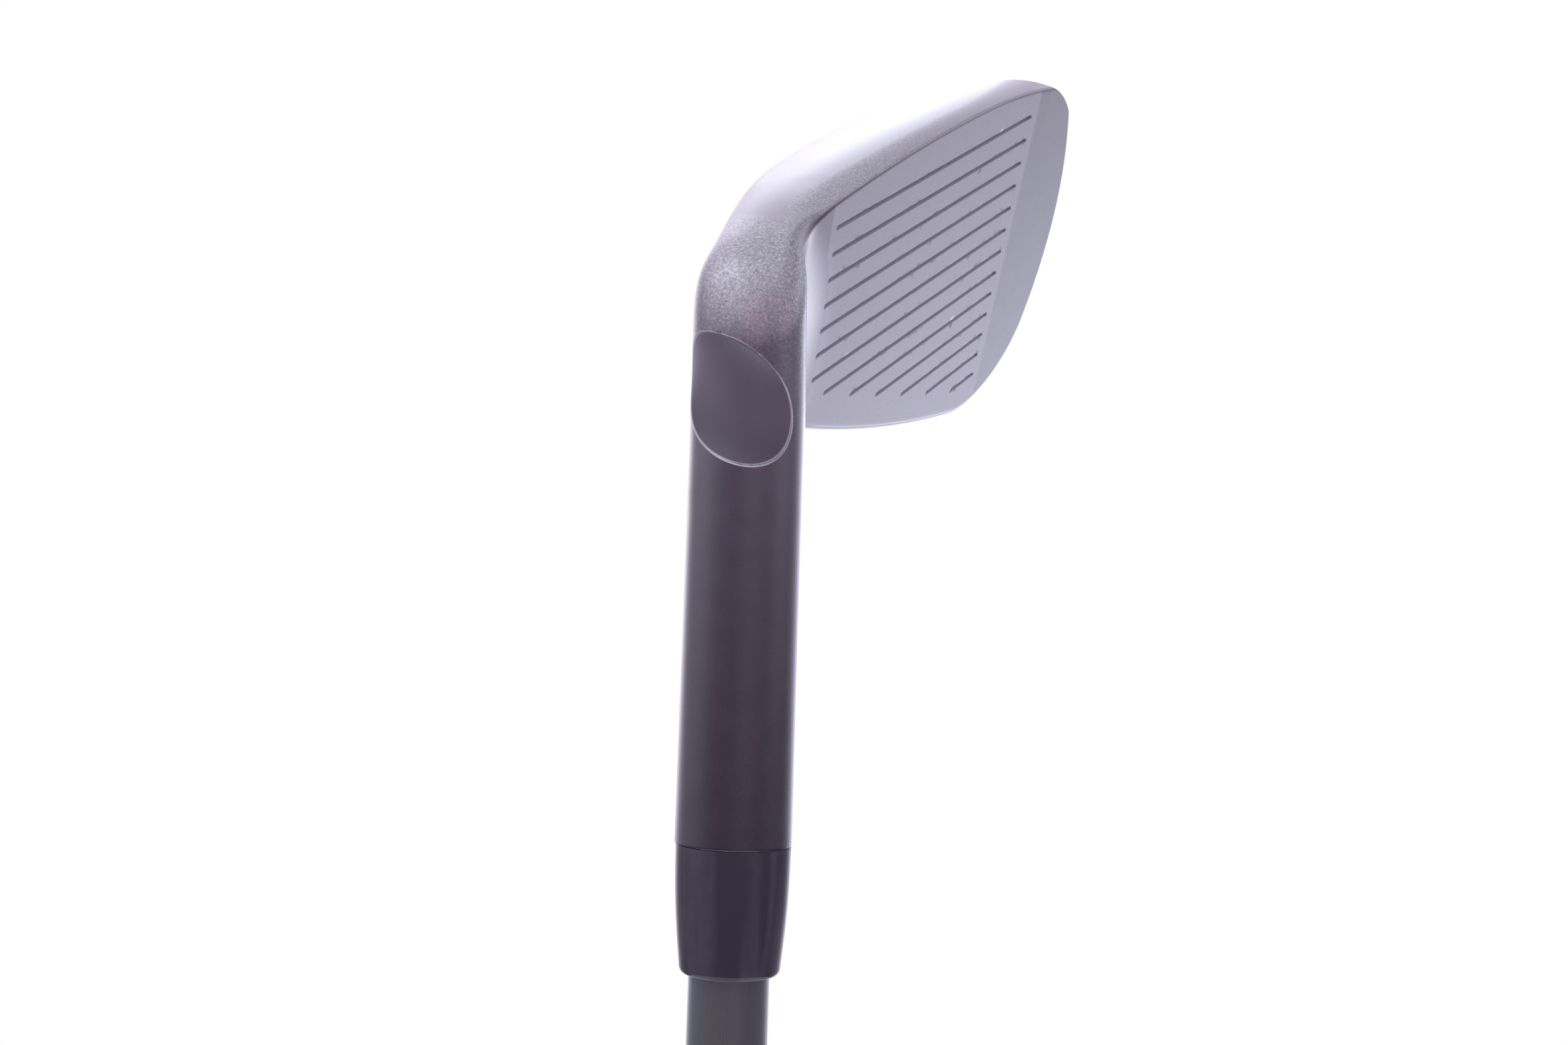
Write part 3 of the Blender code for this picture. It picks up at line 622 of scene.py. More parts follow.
def notch_cutter():
    """Part of a ring whose inner side bulges towards the neck, tilted with the notch."""
    arc_radius = notch_arc_radius()
    centre_x, centre_y = notch_centre()
    half_height = NOTCH_HALF_LENGTH + 2.0
    profile = []
    for height in np.linspace(-half_height, half_height, 49):
        sag = arc_radius - math.sqrt(arc_radius ** 2 - height ** 2)
        profile.append((NOTCH_FLOOR_RADIUS + sag, height))
    profile.append((NOTCH_OUTER_RADIUS, half_height))
    profile.append((NOTCH_OUTER_RADIUS, -half_height))
    profile = np.array(profile)
    layers = []
    for angle in math.pi + NOTCH_TURN + NOTCH_SWEEP * np.linspace(-0.5, 0.5, 150):
        y = centre_y + profile[:, 0] * math.sin(angle)
        z = profile[:, 1] + math.tan(NOTCH_TILT) * y + height_of(NOTCH_S)
        x = centre_x + profile[:, 0] * math.cos(angle)
        layers.append(np.stack([x, y, z], axis=1) * MM)
    bm = bmesh.new()
    layered_prism(bm, layers)
    return object_from_bmesh("notch_cutter", bm)


def bore_cutter():
    low = height_of(BORE_BOTTOM_S)
    high = height_of(HOSEL_TOP_S) - 5.0
    return turned_solid("bore_cutter", [(BORE_RADIUS, high), (BORE_RADIUS, low)], 96)


def make_head():
    sections = smooth_heel(np.array([section_outline(plane) for plane in section_planes()]))
    rings = [head_to_world(section) for section in sections]

    # The hosel's end edge is broken, with a ring close by to keep the shading of the wall straight
    rings[0][:, 2] += HOSEL_EDGE_RISE * MM
    support = rings[0].copy()
    support[:, 2] += HOSEL_EDGE_SUPPORT * MM
    rings.insert(1, support)
    for inset, rise in HOSEL_EDGE:
        rounded = head_to_world(sections[0])
        rounded[:, :2] *= 1.0 - inset / HOSEL_END_RADIUS
        rounded[:, 2] += rise * MM
        rings.insert(0, rounded)
    mesh = grid_mesh("clubhead", rings)
    face_outward(mesh)
    head = new_object("clubhead", mesh)
    port = plug_stack("weight_port_cutter", [(PLUG_RADIUS + CLEARANCE, -PLUG_DEPTH),
                                             (PLUG_RADIUS + CLEARANCE, 8.0)], 96)
    cut_away(head, [bore_cutter(), notch_cutter(), score_line_cutter(), cavity_cutter(), port])
    finish_mesh(head, 30.0)
    weighted = head.modifiers.new("weighted_normals", "WEIGHTED_NORMAL")
    weighted.keep_sharp = True
    return head


# Ferrule, shaft and small parts

FERRULE_LENGTH = 14.0
FERRULE_BASE_RADIUS = 6.6
FERRULE_TIP_RADIUS = 5.8
FERRULE_BULGE = 0.2
FERRULE_END_ROUND = 0.9
FERRULE_END_INSET = 0.54
TIP_RADIUS = 4.65
TIP_PARALLEL = 60.0
BUTT_RADIUS = 7.6
BUTT_PARALLEL = 260.0
SHAFT_WALL = 0.5


def shaft_radius(height):
    tip_start = height_of(BORE_BOTTOM_S) - TIP_PARALLEL
    k = (height - BUTT_PARALLEL) / (tip_start - BUTT_PARALLEL)
    k = min(max(k, 0.0), 1.0)
    return BUTT_RADIUS + (TIP_RADIUS - BUTT_RADIUS) * k


def make_ferrule():
    base = height_of(HOSEL_TOP_S) - 0.06
    tip = height_of(HOSEL_TOP_S) - CLEARANCE - FERRULE_LENGTH
    straight = base - tip - FERRULE_END_ROUND
    profile = [(FERRULE_BASE_RADIUS - 0.12, base), (FERRULE_BASE_RADIUS - 0.03, base - 0.04)]
    for k in np.linspace(0.01, 1.0, 40):
        radius = FERRULE_BASE_RADIUS + (FERRULE_TIP_RADIUS - FERRULE_BASE_RADIUS) * k
        radius += FERRULE_BULGE * math.sin(math.pi * k)
        profile.append((radius, base - k * straight))
    for k in np.linspace(0.1, 1.0, 10):
        angle = k * math.pi / 2.0
        inward = FERRULE_END_INSET * (1.0 - math.cos(angle))
        profile.append((FERRULE_TIP_RADIUS - inward, tip + FERRULE_END_ROUND * (1.0 - math.sin(angle))))
    bore = shaft_radius(base) + 0.2
    profile.append((bore, tip))
    profile.append((bore, base))
    ferrule = turned_tube("ferrule_collar", profile)
    finish_mesh(ferrule)
    return ferrule


def make_shaft():
    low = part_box("shaft")[0].z / MM
    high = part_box("shaft")[1].z / MM
    tip_start = height_of(BORE_BOTTOM_S) - TIP_PARALLEL
    heights = [low, BUTT_PARALLEL]
    heights += list(np.linspace(BUTT_PARALLEL, tip_start, 30)[1:])
    heights.append(high)
    outer = [(shaft_radius(h), h) for h in heights]
    inner = [(shaft_radius(h) - SHAFT_WALL, h) for h in reversed(heights)]
    shaft = turned_tube("shaft_tube", outer + inner)
    finish_mesh(shaft)
    return shaft


def make_toe_weight():
    top = -PLUG_SUNK
    rim = 0.25
    plug = plug_stack("toe_weight_plug", [
        (PLUG_RADIUS, CLEARANCE - PLUG_DEPTH), (PLUG_RADIUS, top - rim),
        (PLUG_RADIUS - rim * 0.3, top - rim * 0.3), (PLUG_RADIUS - rim, top),
    ], 96)
    face_outward(plug.data)
    socket = [(SOCKET_RADIUS, top - SOCKET_DEPTH), (SOCKET_RADIUS, top + 2.0)]
    cut_away(plug, [plug_stack("socket_cutter", socket, 6)])
    finish_mesh(plug)
    return plug


def badge_outline(margin, segments):
    low_u, low_v = BADGE_LOW
    high_u, high_v = BADGE_HIGH
    corners = [
        (low_u + margin, low_v + margin, 2.0),
        (high_u - margin, low_v + margin, 2.0),
        (high_u - 5.0 - margin, high_v - margin, 3.0),
        (low_u + 5.0 + margin, high_v - 4.0 - margin, 3.0),
    ]
    return rounded_outline(corners, segments)


def make_plate(name, low, high, margin, edge):
    outline = badge_outline(margin, 12)
    layers = [on_face(outline, low)]
    for k in np.linspace(0.0, math.pi / 2.0, 5):
        inset = edge * (1.0 - math.cos(k))
        layers.append(on_face(shrink(outline, inset), high - edge + edge * math.sin(k)))
    bm = bmesh.new()
    layered_prism(bm, layers)
    plate = object_from_bmesh(name, bm)
    finish_mesh(plate)
    return plate


# Grip

GRIP_LENGTH = 267.0
GRIP_BUTT_RADIUS = 13.0
GRIP_MOUTH_RADIUS = 9.2
GRIP_TAPER_POWER = 1.6
GRIP_LEAD = 18.0
CROSSHATCH_STARTS = 6.0
CROSSHATCH_DEPTH = 0.35
CROSSHATCH_LOW = 14.0
CROSSHATCH_HIGH = GRIP_LENGTH - 26.0
CROSSHATCH_FADE = 2.0
END_LINES = (12.5, GRIP_LENGTH - 22.5, GRIP_LENGTH - 19.5)
END_LINE_DEPTH = 0.4
VENT_RADIUS = 1.0
VENT_OFFSET = 5.0
CAP_EDGE = 1.0
TAPE_THICKNESS = 0.25
CAP_THICKNESS = 3.2


def grip_radius(height):
    k = height / GRIP_LENGTH
    return GRIP_MOUTH_RADIUS + (GRIP_BUTT_RADIUS - GRIP_MOUTH_RADIUS) * (1.0 - k) ** GRIP_TAPER_POWER


def make_grip():
    """Tapered sleeve with sunk diagonal crosshatch between plain bands."""
    low = CAP_THICKNESS + CLEARANCE
    inner = BUTT_RADIUS + 2.0 * CLEARANCE + TAPE_THICKNESS
    segments = 240
    angle = np.linspace(0.0, 2.0 * math.pi, segments, endpoint=False)
    rings = []
    step = 0.5
    heights = np.arange(low + 0.4, GRIP_LENGTH - 1.0, step)
    for height in heights:
        radius = grip_radius(height)
        twist = 2.0 * math.pi * height / GRIP_LEAD
        lines = np.minimum(np.abs(np.sin(CROSSHATCH_STARTS * angle + twist)),
                           np.abs(np.sin(CROSSHATCH_STARTS * angle - twist)))
        groove = 1.0 - smooth_step(0.10, 0.30, lines)
        band = smooth_step(CROSSHATCH_LOW, CROSSHATCH_LOW + CROSSHATCH_FADE, height)
        band = band * (1.0 - smooth_step(CROSSHATCH_HIGH, CROSSHATCH_HIGH + CROSSHATCH_FADE, height))
        ring_lines = sum(1.0 - smooth_step(0.3, 0.8, abs(height - place)) for place in END_LINES)
        sunk = radius - CROSSHATCH_DEPTH * groove * band - END_LINE_DEPTH * min(float(ring_lines), 1.0)
        rings.append(np.stack([sunk * np.cos(angle), sunk * np.sin(angle),
                               np.full(segments, height)], axis=1) * MM)
    mouth = grip_radius(GRIP_LENGTH)
    top = [(mouth - 0.1, GRIP_LENGTH - 0.6), (mouth - 0.4, GRIP_LENGTH - 0.15), (inner + 0.2, GRIP_LENGTH)]
    bore = [(inner, GRIP_LENGTH - 0.2), (inner, low), (grip_radius(0.0) - 0.4, low)]
    rings += turned_rings(top + bore, segments)
    grip = new_object("grip_sleeve", grid_mesh("grip_sleeve", rings, closed_along=True))
    finish_mesh(grip, 50.0)
    return grip


def make_grip_cap():
    rim = GRIP_BUTT_RADIUS
    profile = [(0.5, CAP_THICKNESS), (rim - 0.4, CAP_THICKNESS), (rim - 0.1, CAP_THICKNESS - 0.1),
               (rim, CAP_THICKNESS - 0.4)]
    for k in np.linspace(0.0, math.pi / 2.0, 12):
        profile.append((rim - CAP_EDGE + CAP_EDGE * math.cos(k), CAP_EDGE - CAP_EDGE * math.sin(k)))
    profile += [(9.2, 0.0), (9.0, 0.25), (8.4, 0.25), (8.2, 0.0), (0.5, 0.0)]
    cap = turned_solid("grip_end_cap", profile)
    face_outward(cap.data)
    bm = bmesh.new()
    angle = np.linspace(0.0, 2.0 * math.pi, 48, endpoint=False)
    hole = np.stack([VENT_OFFSET + VENT_RADIUS * np.cos(angle), VENT_RADIUS * np.sin(angle)], axis=1)
    layers = []
    for height in (-2.0, CAP_THICKNESS + 2.0):
        layers.append(np.column_stack([hole, np.full(len(hole), height)]) * MM)
    layered_prism(bm, layers)
    cut_away(cap, [object_from_bmesh("vent_cutter", bm)])
    finish_mesh(cap)
    return cap


# Materials

class Shade:
    """Short calls for building a node material."""

    def __init__(self, name):
        self.material = bpy.data.materials.new(name)
        self.material.use_nodes = True
        self.tree = self.material.node_tree
        self.shader = self.tree.nodes["Principled BSDF"]
        coordinates = self.tree.nodes.new("ShaderNodeTexCoord")
        self.place = self.vector_math("SCALE", coordinates.outputs["Object"], scale=1000.0)

    def feed(self, socket, value):
        if isinstance(value, bpy.types.NodeSocket):
            self.tree.links.new(value, socket)
        else:
            socket.default_value = value

    def math(self, operation, a, b=0.0, c=0.0):
        node = self.tree.nodes.new("ShaderNodeMath")
        node.operation = operation
        for socket, value in zip(node.inputs, (a, b, c)):
            self.feed(socket, value)
        return node.outputs[0]

    def product(self, first, *others):
        for other in others:
            first = self.math("MULTIPLY", first, other)
        return first

    def length(self, a, b):
        return self.math("SQRT", self.math("ADD", self.product(a, a), self.product(b, b)))

    def vector_math(self, operation, a, b=None, scale=None):
        node = self.tree.nodes.new("ShaderNodeVectorMath")
        node.operation = operation
        self.feed(node.inputs[0], a)
        if b is not None:
            self.feed(node.inputs[1], b)
        if scale is not None:
            self.feed(node.inputs["Scale"], scale)
        return node.outputs["Value" if operation == "DOT_PRODUCT" else "Vector"]

    def step(self, value, start, end, low=0.0, high=1.0):
        """A smooth change from low to high as the value goes from start to end."""
        node = self.tree.nodes.new("ShaderNodeMapRange")
        node.interpolation_type = "SMOOTHSTEP"
        self.feed(node.inputs["Value"], value)
        node.inputs["From Min"].default_value = start
        node.inputs["From Max"].default_value = end
        node.inputs["To Min"].default_value = low
        node.inputs["To Max"].default_value = high
        return node.outputs["Result"]

    def band(self, value, low, high, soft):
        """1 between low and high, 0 outside."""
        return self.product(self.step(value, low - soft, low + soft),
                            self.step(value, high - soft, high + soft, 1.0, 0.0))

    def linear(self, direction, offset):
        """The place's component along a direction, plus an offset."""
        return self.math("ADD", self.vector_math("DOT_PRODUCT", self.place, direction), offset)

    def noise(self, scale, detail, roughness, stretch=None):
        node = self.tree.nodes.new("ShaderNodeTexNoise")
        place = self.place
        if stretch is not None:
            place = self.vector_math("MULTIPLY", place, stretch)
        self.feed(node.inputs["Vector"], place)
        node.inputs["Scale"].default_value = scale
        node.inputs["Detail"].default_value = detail
        node.inputs["Roughness"].default_value = roughness
        return node.outputs["Fac"]

    def mix(self, factor, a, b):
        node = self.tree.nodes.new("ShaderNodeMix")
        node.data_type = "RGBA"
        self.feed(node.inputs["Factor"], factor)
        self.feed(node.inputs[6], (*a, 1.0) if isinstance(a, tuple) else a)
        self.feed(node.inputs[7], (*b, 1.0) if isinstance(b, tuple) else b)
        return node.outputs[2]

    def blend_value(self, factor, a, b):
        """a where the factor is 0, b where it is 1."""
        return self.math("MULTIPLY_ADD", factor, self.math("SUBTRACT", b, a), a)

    def bump(self, height, strength, distance):
        node = self.tree.nodes.new("ShaderNodeBump")
        node.inputs["Strength"].default_value = strength
        node.inputs["Distance"].default_value = distance
        self.feed(node.inputs["Height"], height)
        return node.outputs["Normal"]

    def set(self, name, value):
        self.feed(self.shader.inputs[name], value)


def world_direction(head_vector):
    """A direction in the head's frame, turned into the frame's axes."""
    x, y, t = head_vector
    along = SHAFT_UP[0] * x + SHAFT_UP[1] * y
    across = SHAFT_UP[1] * x - SHAFT_UP[0] * y
    return Vector((across, -t, -along))


def face_axes(shade):
    """The face coordinates u, v and w as node outputs, in millimetres."""
    origin = head_to_world(FACE_ORIGIN) / MM
    axes = []
    for head_vector in ((1.0, 0.0, 0.0), (0.0, math.cos(LOFT), -math.sin(LOFT)),
                        (0.0, -math.sin(LOFT), -math.cos(LOFT))):
        direction = world_direction(head_vector)
        axes.append(shade.linear(tuple(direction), -float(direction @ Vector(origin))))
    return axes


def face_masks(shade, u, v, w):
    """Where the blasted face, the flat steel beyond it and the score lines are."""
    on_plane = shade.band(w, -0.03, 0.03, 0.015)
    blasted = shade.product(
        on_plane,
        shade.step(u, BLAST_HEEL_U - 0.08, BLAST_HEEL_U + 0.08),
        shade.step(u, BLAST_TOE_U + 0.5, BLAST_TOE_U - 0.5),
    )
    toe_flat = shade.product(on_plane, shade.step(u, BLAST_TOE_U - 1.0, BLAST_TOE_U + 1.0))
    in_groove = shade.product(
        shade.step(w, 0.02, 0.10),
        shade.step(w, 0.62, 0.55),
        shade.step(v, -1.0, -0.6),
        shade.step(u, -0.4, -0.2),
        shade.step(u, GROOVE_TOE_U + 0.4, GROOVE_TOE_U + 0.2),
    )
    return blasted, toe_flat, in_groove


def notch_masks(shade, x, y, z):
    """Where the notch's floor and its polished rim are, and the height above the notch's middle; the floor
    carries painted shade and the rim a painted highlight.
    """
    centre_x, centre_y = notch_centre()
    ring = shade.length(shade.math("SUBTRACT", x, centre_x), shade.math("SUBTRACT", y, centre_y))
    tilt = shade.product(y, math.tan(NOTCH_TILT))
    height = shade.math("SUBTRACT", shade.math("SUBTRACT", z, height_of(NOTCH_S)), tilt)
    arc_radius = notch_arc_radius()
    chord = shade.math("SQRT", shade.math("SUBTRACT", arc_radius ** 2, shade.product(height, height)))
    sag = shade.math("SUBTRACT", arc_radius, chord)
    to_notch = shade.math("SUBTRACT", shade.math("SUBTRACT", ring, NOTCH_FLOOR_RADIUS), sag)
    from_axis = shade.length(x, y)
    here = shade.product(
        shade.step(x, 2.5, 1.5),
        shade.band(height, -NOTCH_HALF_LENGTH - 1.0, NOTCH_HALF_LENGTH + 1.0, 0.2),
    )
    floor = shade.product(shade.band(to_notch, -0.04, 0.04, 0.02), shade.step(from_axis, 6.66, 6.56), here)
    # The rim mask is strongest at its low end, where the painted highlight goes.
    rim = shade.product(
        shade.band(to_notch, -0.05, 0.05, 0.02),
        shade.band(from_axis, 6.48, 7.2, 0.03),
        shade.step(height, 5.5, 2.5, 0.25, 1.0),
        here,
    )
    return floor, rim, height


def grain_mask(shade, face, x, z):
    """How coarse the grain is: fine on the hosel, coarse on the neck and along the leading edge."""
    u, v, w = face
    neck = shade.product(
        shade.step(z, height_of(30.0), height_of(9.0)),
        shade.step(z, height_of(-12.0), height_of(2.0)),
        shade.step(x, 5.4, 3.6),
    )
    from_low = shade.math("SUBTRACT", u, LEAD_LOW_U)
    bow = shade.math("MULTIPLY_ADD", shade.product(from_low, from_low), 0.5 / LEAD_HEEL_RADIUS, LEAD_LOW_V)
    rise = shade.product(shade.math("SUBTRACT", v, bow), math.sin(LEAD_ANGLE))
    below_edge = shade.math("MULTIPLY_ADD", w, math.cos(LEAD_ANGLE), rise)
    lead = shade.product(
        shade.step(below_edge, 1.6, 0.2),
        shade.step(w, 0.02, 0.12),
        shade.step(u, 46.0, 4.0, 0.0, 0.7),
    )
    return shade.blend_value(shade.math("MAXIMUM", neck, lead), 0.03, 1.0)


def steel_material():
    shade = Shade("satin_steel")
    face = face_axes(shade)
    split = shade.tree.nodes.new("ShaderNodeSeparateXYZ")
    shade.feed(split.inputs[0], shade.place)
    x, y, z = split.outputs
    blasted, toe_flat, in_groove = face_masks(shade, *face)
    in_notch, rim, height = notch_masks(shade, x, y, z)
    grain = grain_mask(shade, face, x, z)

    fine = shade.noise(3.6, 3.0, 0.6)
    patches = shade.noise(0.35, 3.0, 0.55)
    speckle = shade.noise(2.3, 4.0, 0.7)
    scratch_a = shade.noise(1.0, 2.0, 0.5, stretch=(9.0, 9.0, 0.30))
    scratch_b = shade.noise(1.0, 2.0, 0.5, stretch=(0.5, 11.0, 4.0))

    colour = shade.mix(shade.step(patches, 0.3, 0.7), (0.63, 0.615, 0.695), (0.65, 0.635, 0.72))
    dark_grain = shade.product(shade.step(speckle, 0.48, 0.64), grain, 0.65)
    light_grain = shade.product(shade.step(fine, 0.50, 0.62), grain, 0.9)
    colour = shade.mix(dark_grain, colour, (0.38, 0.36, 0.43))
    colour = shade.mix(light_grain, colour, (0.92, 0.91, 0.98))
    colour = shade.mix(toe_flat, colour, (0.56, 0.555, 0.625))
    blast = shade.mix(shade.step(fine, 0.3, 0.7), (0.82, 0.81, 0.90), (0.90, 0.89, 0.97))
    colour = shade.mix(blasted, colour, blast)
    # Painted shade and light in the notch: its floor is painted dark at its low end and pale towards its
    # top, as the light falls into it.
    notch_painted_shading = shade.mix(shade.step(height, -5.5, 5.5), (0.29, 0.27, 0.335), (0.82, 0.78, 0.90))
    colour = shade.mix(in_notch, colour, notch_painted_shading)
    # Painted shade: the score lines are coloured darker than the blasted face around them, standing in for
    # the shade inside them.
    colour = shade.mix(in_groove, colour, (0.76, 0.74, 0.84))
    # Painted highlight on the notch's rim: part real polished edge, part colour brightened to stand in for
    # the light it catches.
    colour = shade.mix(rim, colour, (0.95, 0.93, 1.0))
    shade.set("Base Color", colour)
    shade.set("Metallic", 1.0)

    rough = shade.step(patches, 0.3, 0.7, 0.265, 0.285)
    rough = shade.blend_value(shade.product(shade.step(scratch_a, 0.55, 0.7), 0.3), rough, 0.24)
    for mask, level in ((blasted, 0.38), (in_notch, 0.50), (in_groove, 0.55), (rim, 0.2)):
        rough = shade.blend_value(mask, rough, level)
    shade.set("Roughness", rough)

    bumps = shade.math("ADD", shade.product(fine, 0.7), shade.product(speckle, 0.5))
    scratches = shade.product(shade.math("ADD", scratch_a, scratch_b), 0.10)
    relief = shade.math("ADD", shade.product(bumps, grain), scratches)
    normal = shade.bump(relief, 0.35, 0.00006)

    # The notch's polished edge turns up towards the light
    surface = shade.tree.nodes.new("ShaderNodeNewGeometry").outputs["Normal"]
    raised = shade.vector_math("ADD", surface, (0.0, 0.0, 0.95))
    raised = shade.vector_math("SUBTRACT", raised, normal)
    edge = shade.vector_math("SCALE", raised, scale=rim)
    shade.set("Normal", shade.vector_math("NORMALIZE", shade.vector_math("ADD", normal, edge)))
    return shade.material


def plain_metal(name, colour, roughness, brush):
    shade = Shade(name)
    streaks = shade.noise(1.0, 3.0, 0.6, stretch=brush)
    fine = shade.noise(4.0, 2.0, 0.5)
    darker = tuple(c * 0.82 for c in colour)
    shade.set("Base Color", shade.mix(shade.step(streaks, 0.3, 0.7), darker, colour))
    shade.set("Metallic", 1.0)
    shade.set("Roughness", shade.step(streaks, 0.25, 0.75, roughness * 0.8, roughness * 1.2))
    shade.set("Normal", shade.bump(shade.math("ADD", streaks, fine), 0.2, 0.00004))
    return shade.material


def ferrule_material():
    shade = Shade("gloss_black_ferrule")
    haze = shade.noise(0.5, 3.0, 0.6)
    # Painted reflections: soft vertical streaks of lighter colour stand in for the ferrule's reflections.
    painted_sheen = shade.noise(1.0, 1.5, 0.5, stretch=(0.45, 0.45, 0.012))
    scuff = shade.noise(1.0, 2.0, 0.5, stretch=(5.0, 5.0, 0.4))
    tone = shade.mix(shade.step(painted_sheen, 0.38, 0.62), (0.15, 0.14, 0.20), (0.24, 0.23, 0.30))
    tone = shade.mix(shade.product(shade.step(haze, 0.3, 0.7), 0.3), tone, (0.15, 0.145, 0.19))
    shade.set("Base Color", tone)
    shade.set("Roughness", shade.step(scuff, 0.35, 0.75, 0.16, 0.24))
    shade.set("Normal", shade.bump(scuff, 0.05, 0.00004))
    shade.set("Coat Weight", 0.8)
    shade.set("Coat Roughness", 0.06)
    return shade.material


def shaft_material():
    shade = Shade("dark_grey_shaft")
    streaks = shade.noise(1.0, 3.0, 0.55, stretch=(2.5, 2.5, 0.03))
    # Painted reflections: soft lengthwise streaks of lighter colour stand in for the shaft's reflections.
    painted_sheen = shade.noise(1.0, 1.5, 0.5, stretch=(0.22, 0.22, 0.004))
    flake = shade.noise(7.0, 2.0, 0.6)
    base = shade.mix(shade.step(painted_sheen, 0.36, 0.64), (0.64, 0.76, 0.88), (0.94, 1.0, 1.0))
    base = shade.mix(shade.product(shade.step(streaks, 0.4, 0.7), 0.4), base, (0.58, 0.67, 0.78))
    base = shade.mix(shade.product(shade.step(flake, 0.6, 0.8), 0.3), base, (0.84, 0.90, 1.0))
    shade.set("Base Color", base)
    shade.set("Metallic", 0.85)
    shade.set("Roughness", shade.step(streaks, 0.3, 0.7, 0.27, 0.34))
    shade.set("Normal", shade.bump(streaks, 0.06, 0.00005))
    return shade.material


def rubber_material(name, colour, roughness=0.72, grain=3.0):
    shade = Shade(name)
    fine = shade.noise(grain, 4.0, 0.65)
    dust = shade.noise(0.08, 4.0, 0.6)
    lighter = tuple(c * 1.6 + 0.004 for c in colour)
    shade.set("Base Color", shade.mix(shade.step(dust, 0.35, 0.75), colour, lighter))
    shade.set("Roughness", shade.step(fine, 0.3, 0.7, roughness - 0.08, roughness + 0.08))
    shade.set("Normal", shade.bump(fine, 0.45, 0.00012))
    return shade.material


def tape_material():
    shade = Shade("paper_tape")
    fibre = shade.noise(1.0, 4.0, 0.7, stretch=(3.0, 3.0, 0.6))
    shade.set("Base Color", shade.mix(fibre, (0.62, 0.55, 0.38), (0.80, 0.74, 0.58)))
    shade.set("Roughness", shade.step(fibre, 0.3, 0.7, 0.75, 0.9))
    shade.set("Normal", shade.bump(fibre, 0.4, 0.00008))
    return shade.material


def dress(thing, material):
    thing.data.materials.clear()
    thing.data.materials.append(material)


def place_piece(piece, node, material):
    """A fine piece that stands for a CAD node."""
    dress(piece, material)
    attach(piece, "root")
    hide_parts(node)


# Studio

CAMERA_PLACE = (-0.1520, -0.1190, 0.9206)
CAMERA_LENS = 39.23
FLOOR_RADIUS = 1.1
FLOOR_GAP = 0.0002
VIEW_DIRECTION = Vector((0.8007, 0.5976, 0.0415))
VIEW_UP = Vector((-0.0523, 0.0007, 0.9985))
ROOM_GLOW = (0.01, 0.005, 0.015)

# Each is a direction, a focus (the larger, the smaller the light) and a colour
SOFT_LIGHTS = (
    ((0.74, 0.54, 0.40), 4.2, (1.00, 0.95, 1.08)),
    ((-0.36, 0.08, 0.93), 5.5, (0.63, 0.66, 0.68)),
    ((0.38, -0.78, 0.50), 10.0, (0.34, 0.29, 0.34)),
    ((-0.45, 0.65, 0.61), 5.2, (0.38, 0.34, 0.39)),
    ((0.92, 0.32, -0.12), 14.0, (1.38, 1.42, 1.56)),
    ((0.76, 0.56, -0.33), 12.0, (0.75, 0.75, 0.82)),
    ((-0.46, -0.69, 0.56), 6.5, (0.26, 0.19, 0.24)),
    ((-0.96, -0.06, 0.27), 15.0, (0.05, 0.02, 0.04)),
    ((0.72, -0.42, 0.55), 27.0, (0.29, 0.33, 0.33)),
    ((0.44, 0.90, 0.06), 34.0, (0.56, 0.58, 0.50)),
    ((0.14, -0.32, 0.94), 25.0, (0.24, 0.25, 0.26)),
    ((0.63, 0.46, 0.64), 45.0, (0.95, 1.05, 1.00)),
)


def add_camera():
    data = bpy.data.cameras.new("camera")
    data.lens = CAMERA_LENS
    data.sensor_width = 36.0
    data.clip_start = 0.01
    data.dof.use_dof = False
    camera = bpy.data.objects.new("camera", data)
    bpy.context.scene.collection.objects.link(camera)
    camera.location = CAMERA_PLACE
    back = -VIEW_DIRECTION.normalized()
    right = VIEW_UP.cross(back).normalized()
    up = back.cross(right)
    turn = Matrix((right, up, back)).transposed().to_4x4()
    camera.rotation_mode = "QUATERNION"
    camera.rotation_quaternion = turn.to_quaternion()
    bpy.context.scene.camera = camera


def add_floor():
    bm = bmesh.new()
    bmesh.ops.create_circle(bm, cap_ends=True, radius=FLOOR_RADIUS, segments=96)
    floor = object_from_bmesh("floor", bm)
    floor.location.z = cad_low.z - FLOOR_GAP
    shade = Shade("pale_floor")
    mottle = shade.noise(0.004, 3.0, 0.5)
    shade.set("Base Color", shade.mix(mottle, (0.86, 0.86, 0.88), (0.90, 0.90, 0.91)))
    shade.set("Roughness", 0.9)
    dress(floor, shade.material)


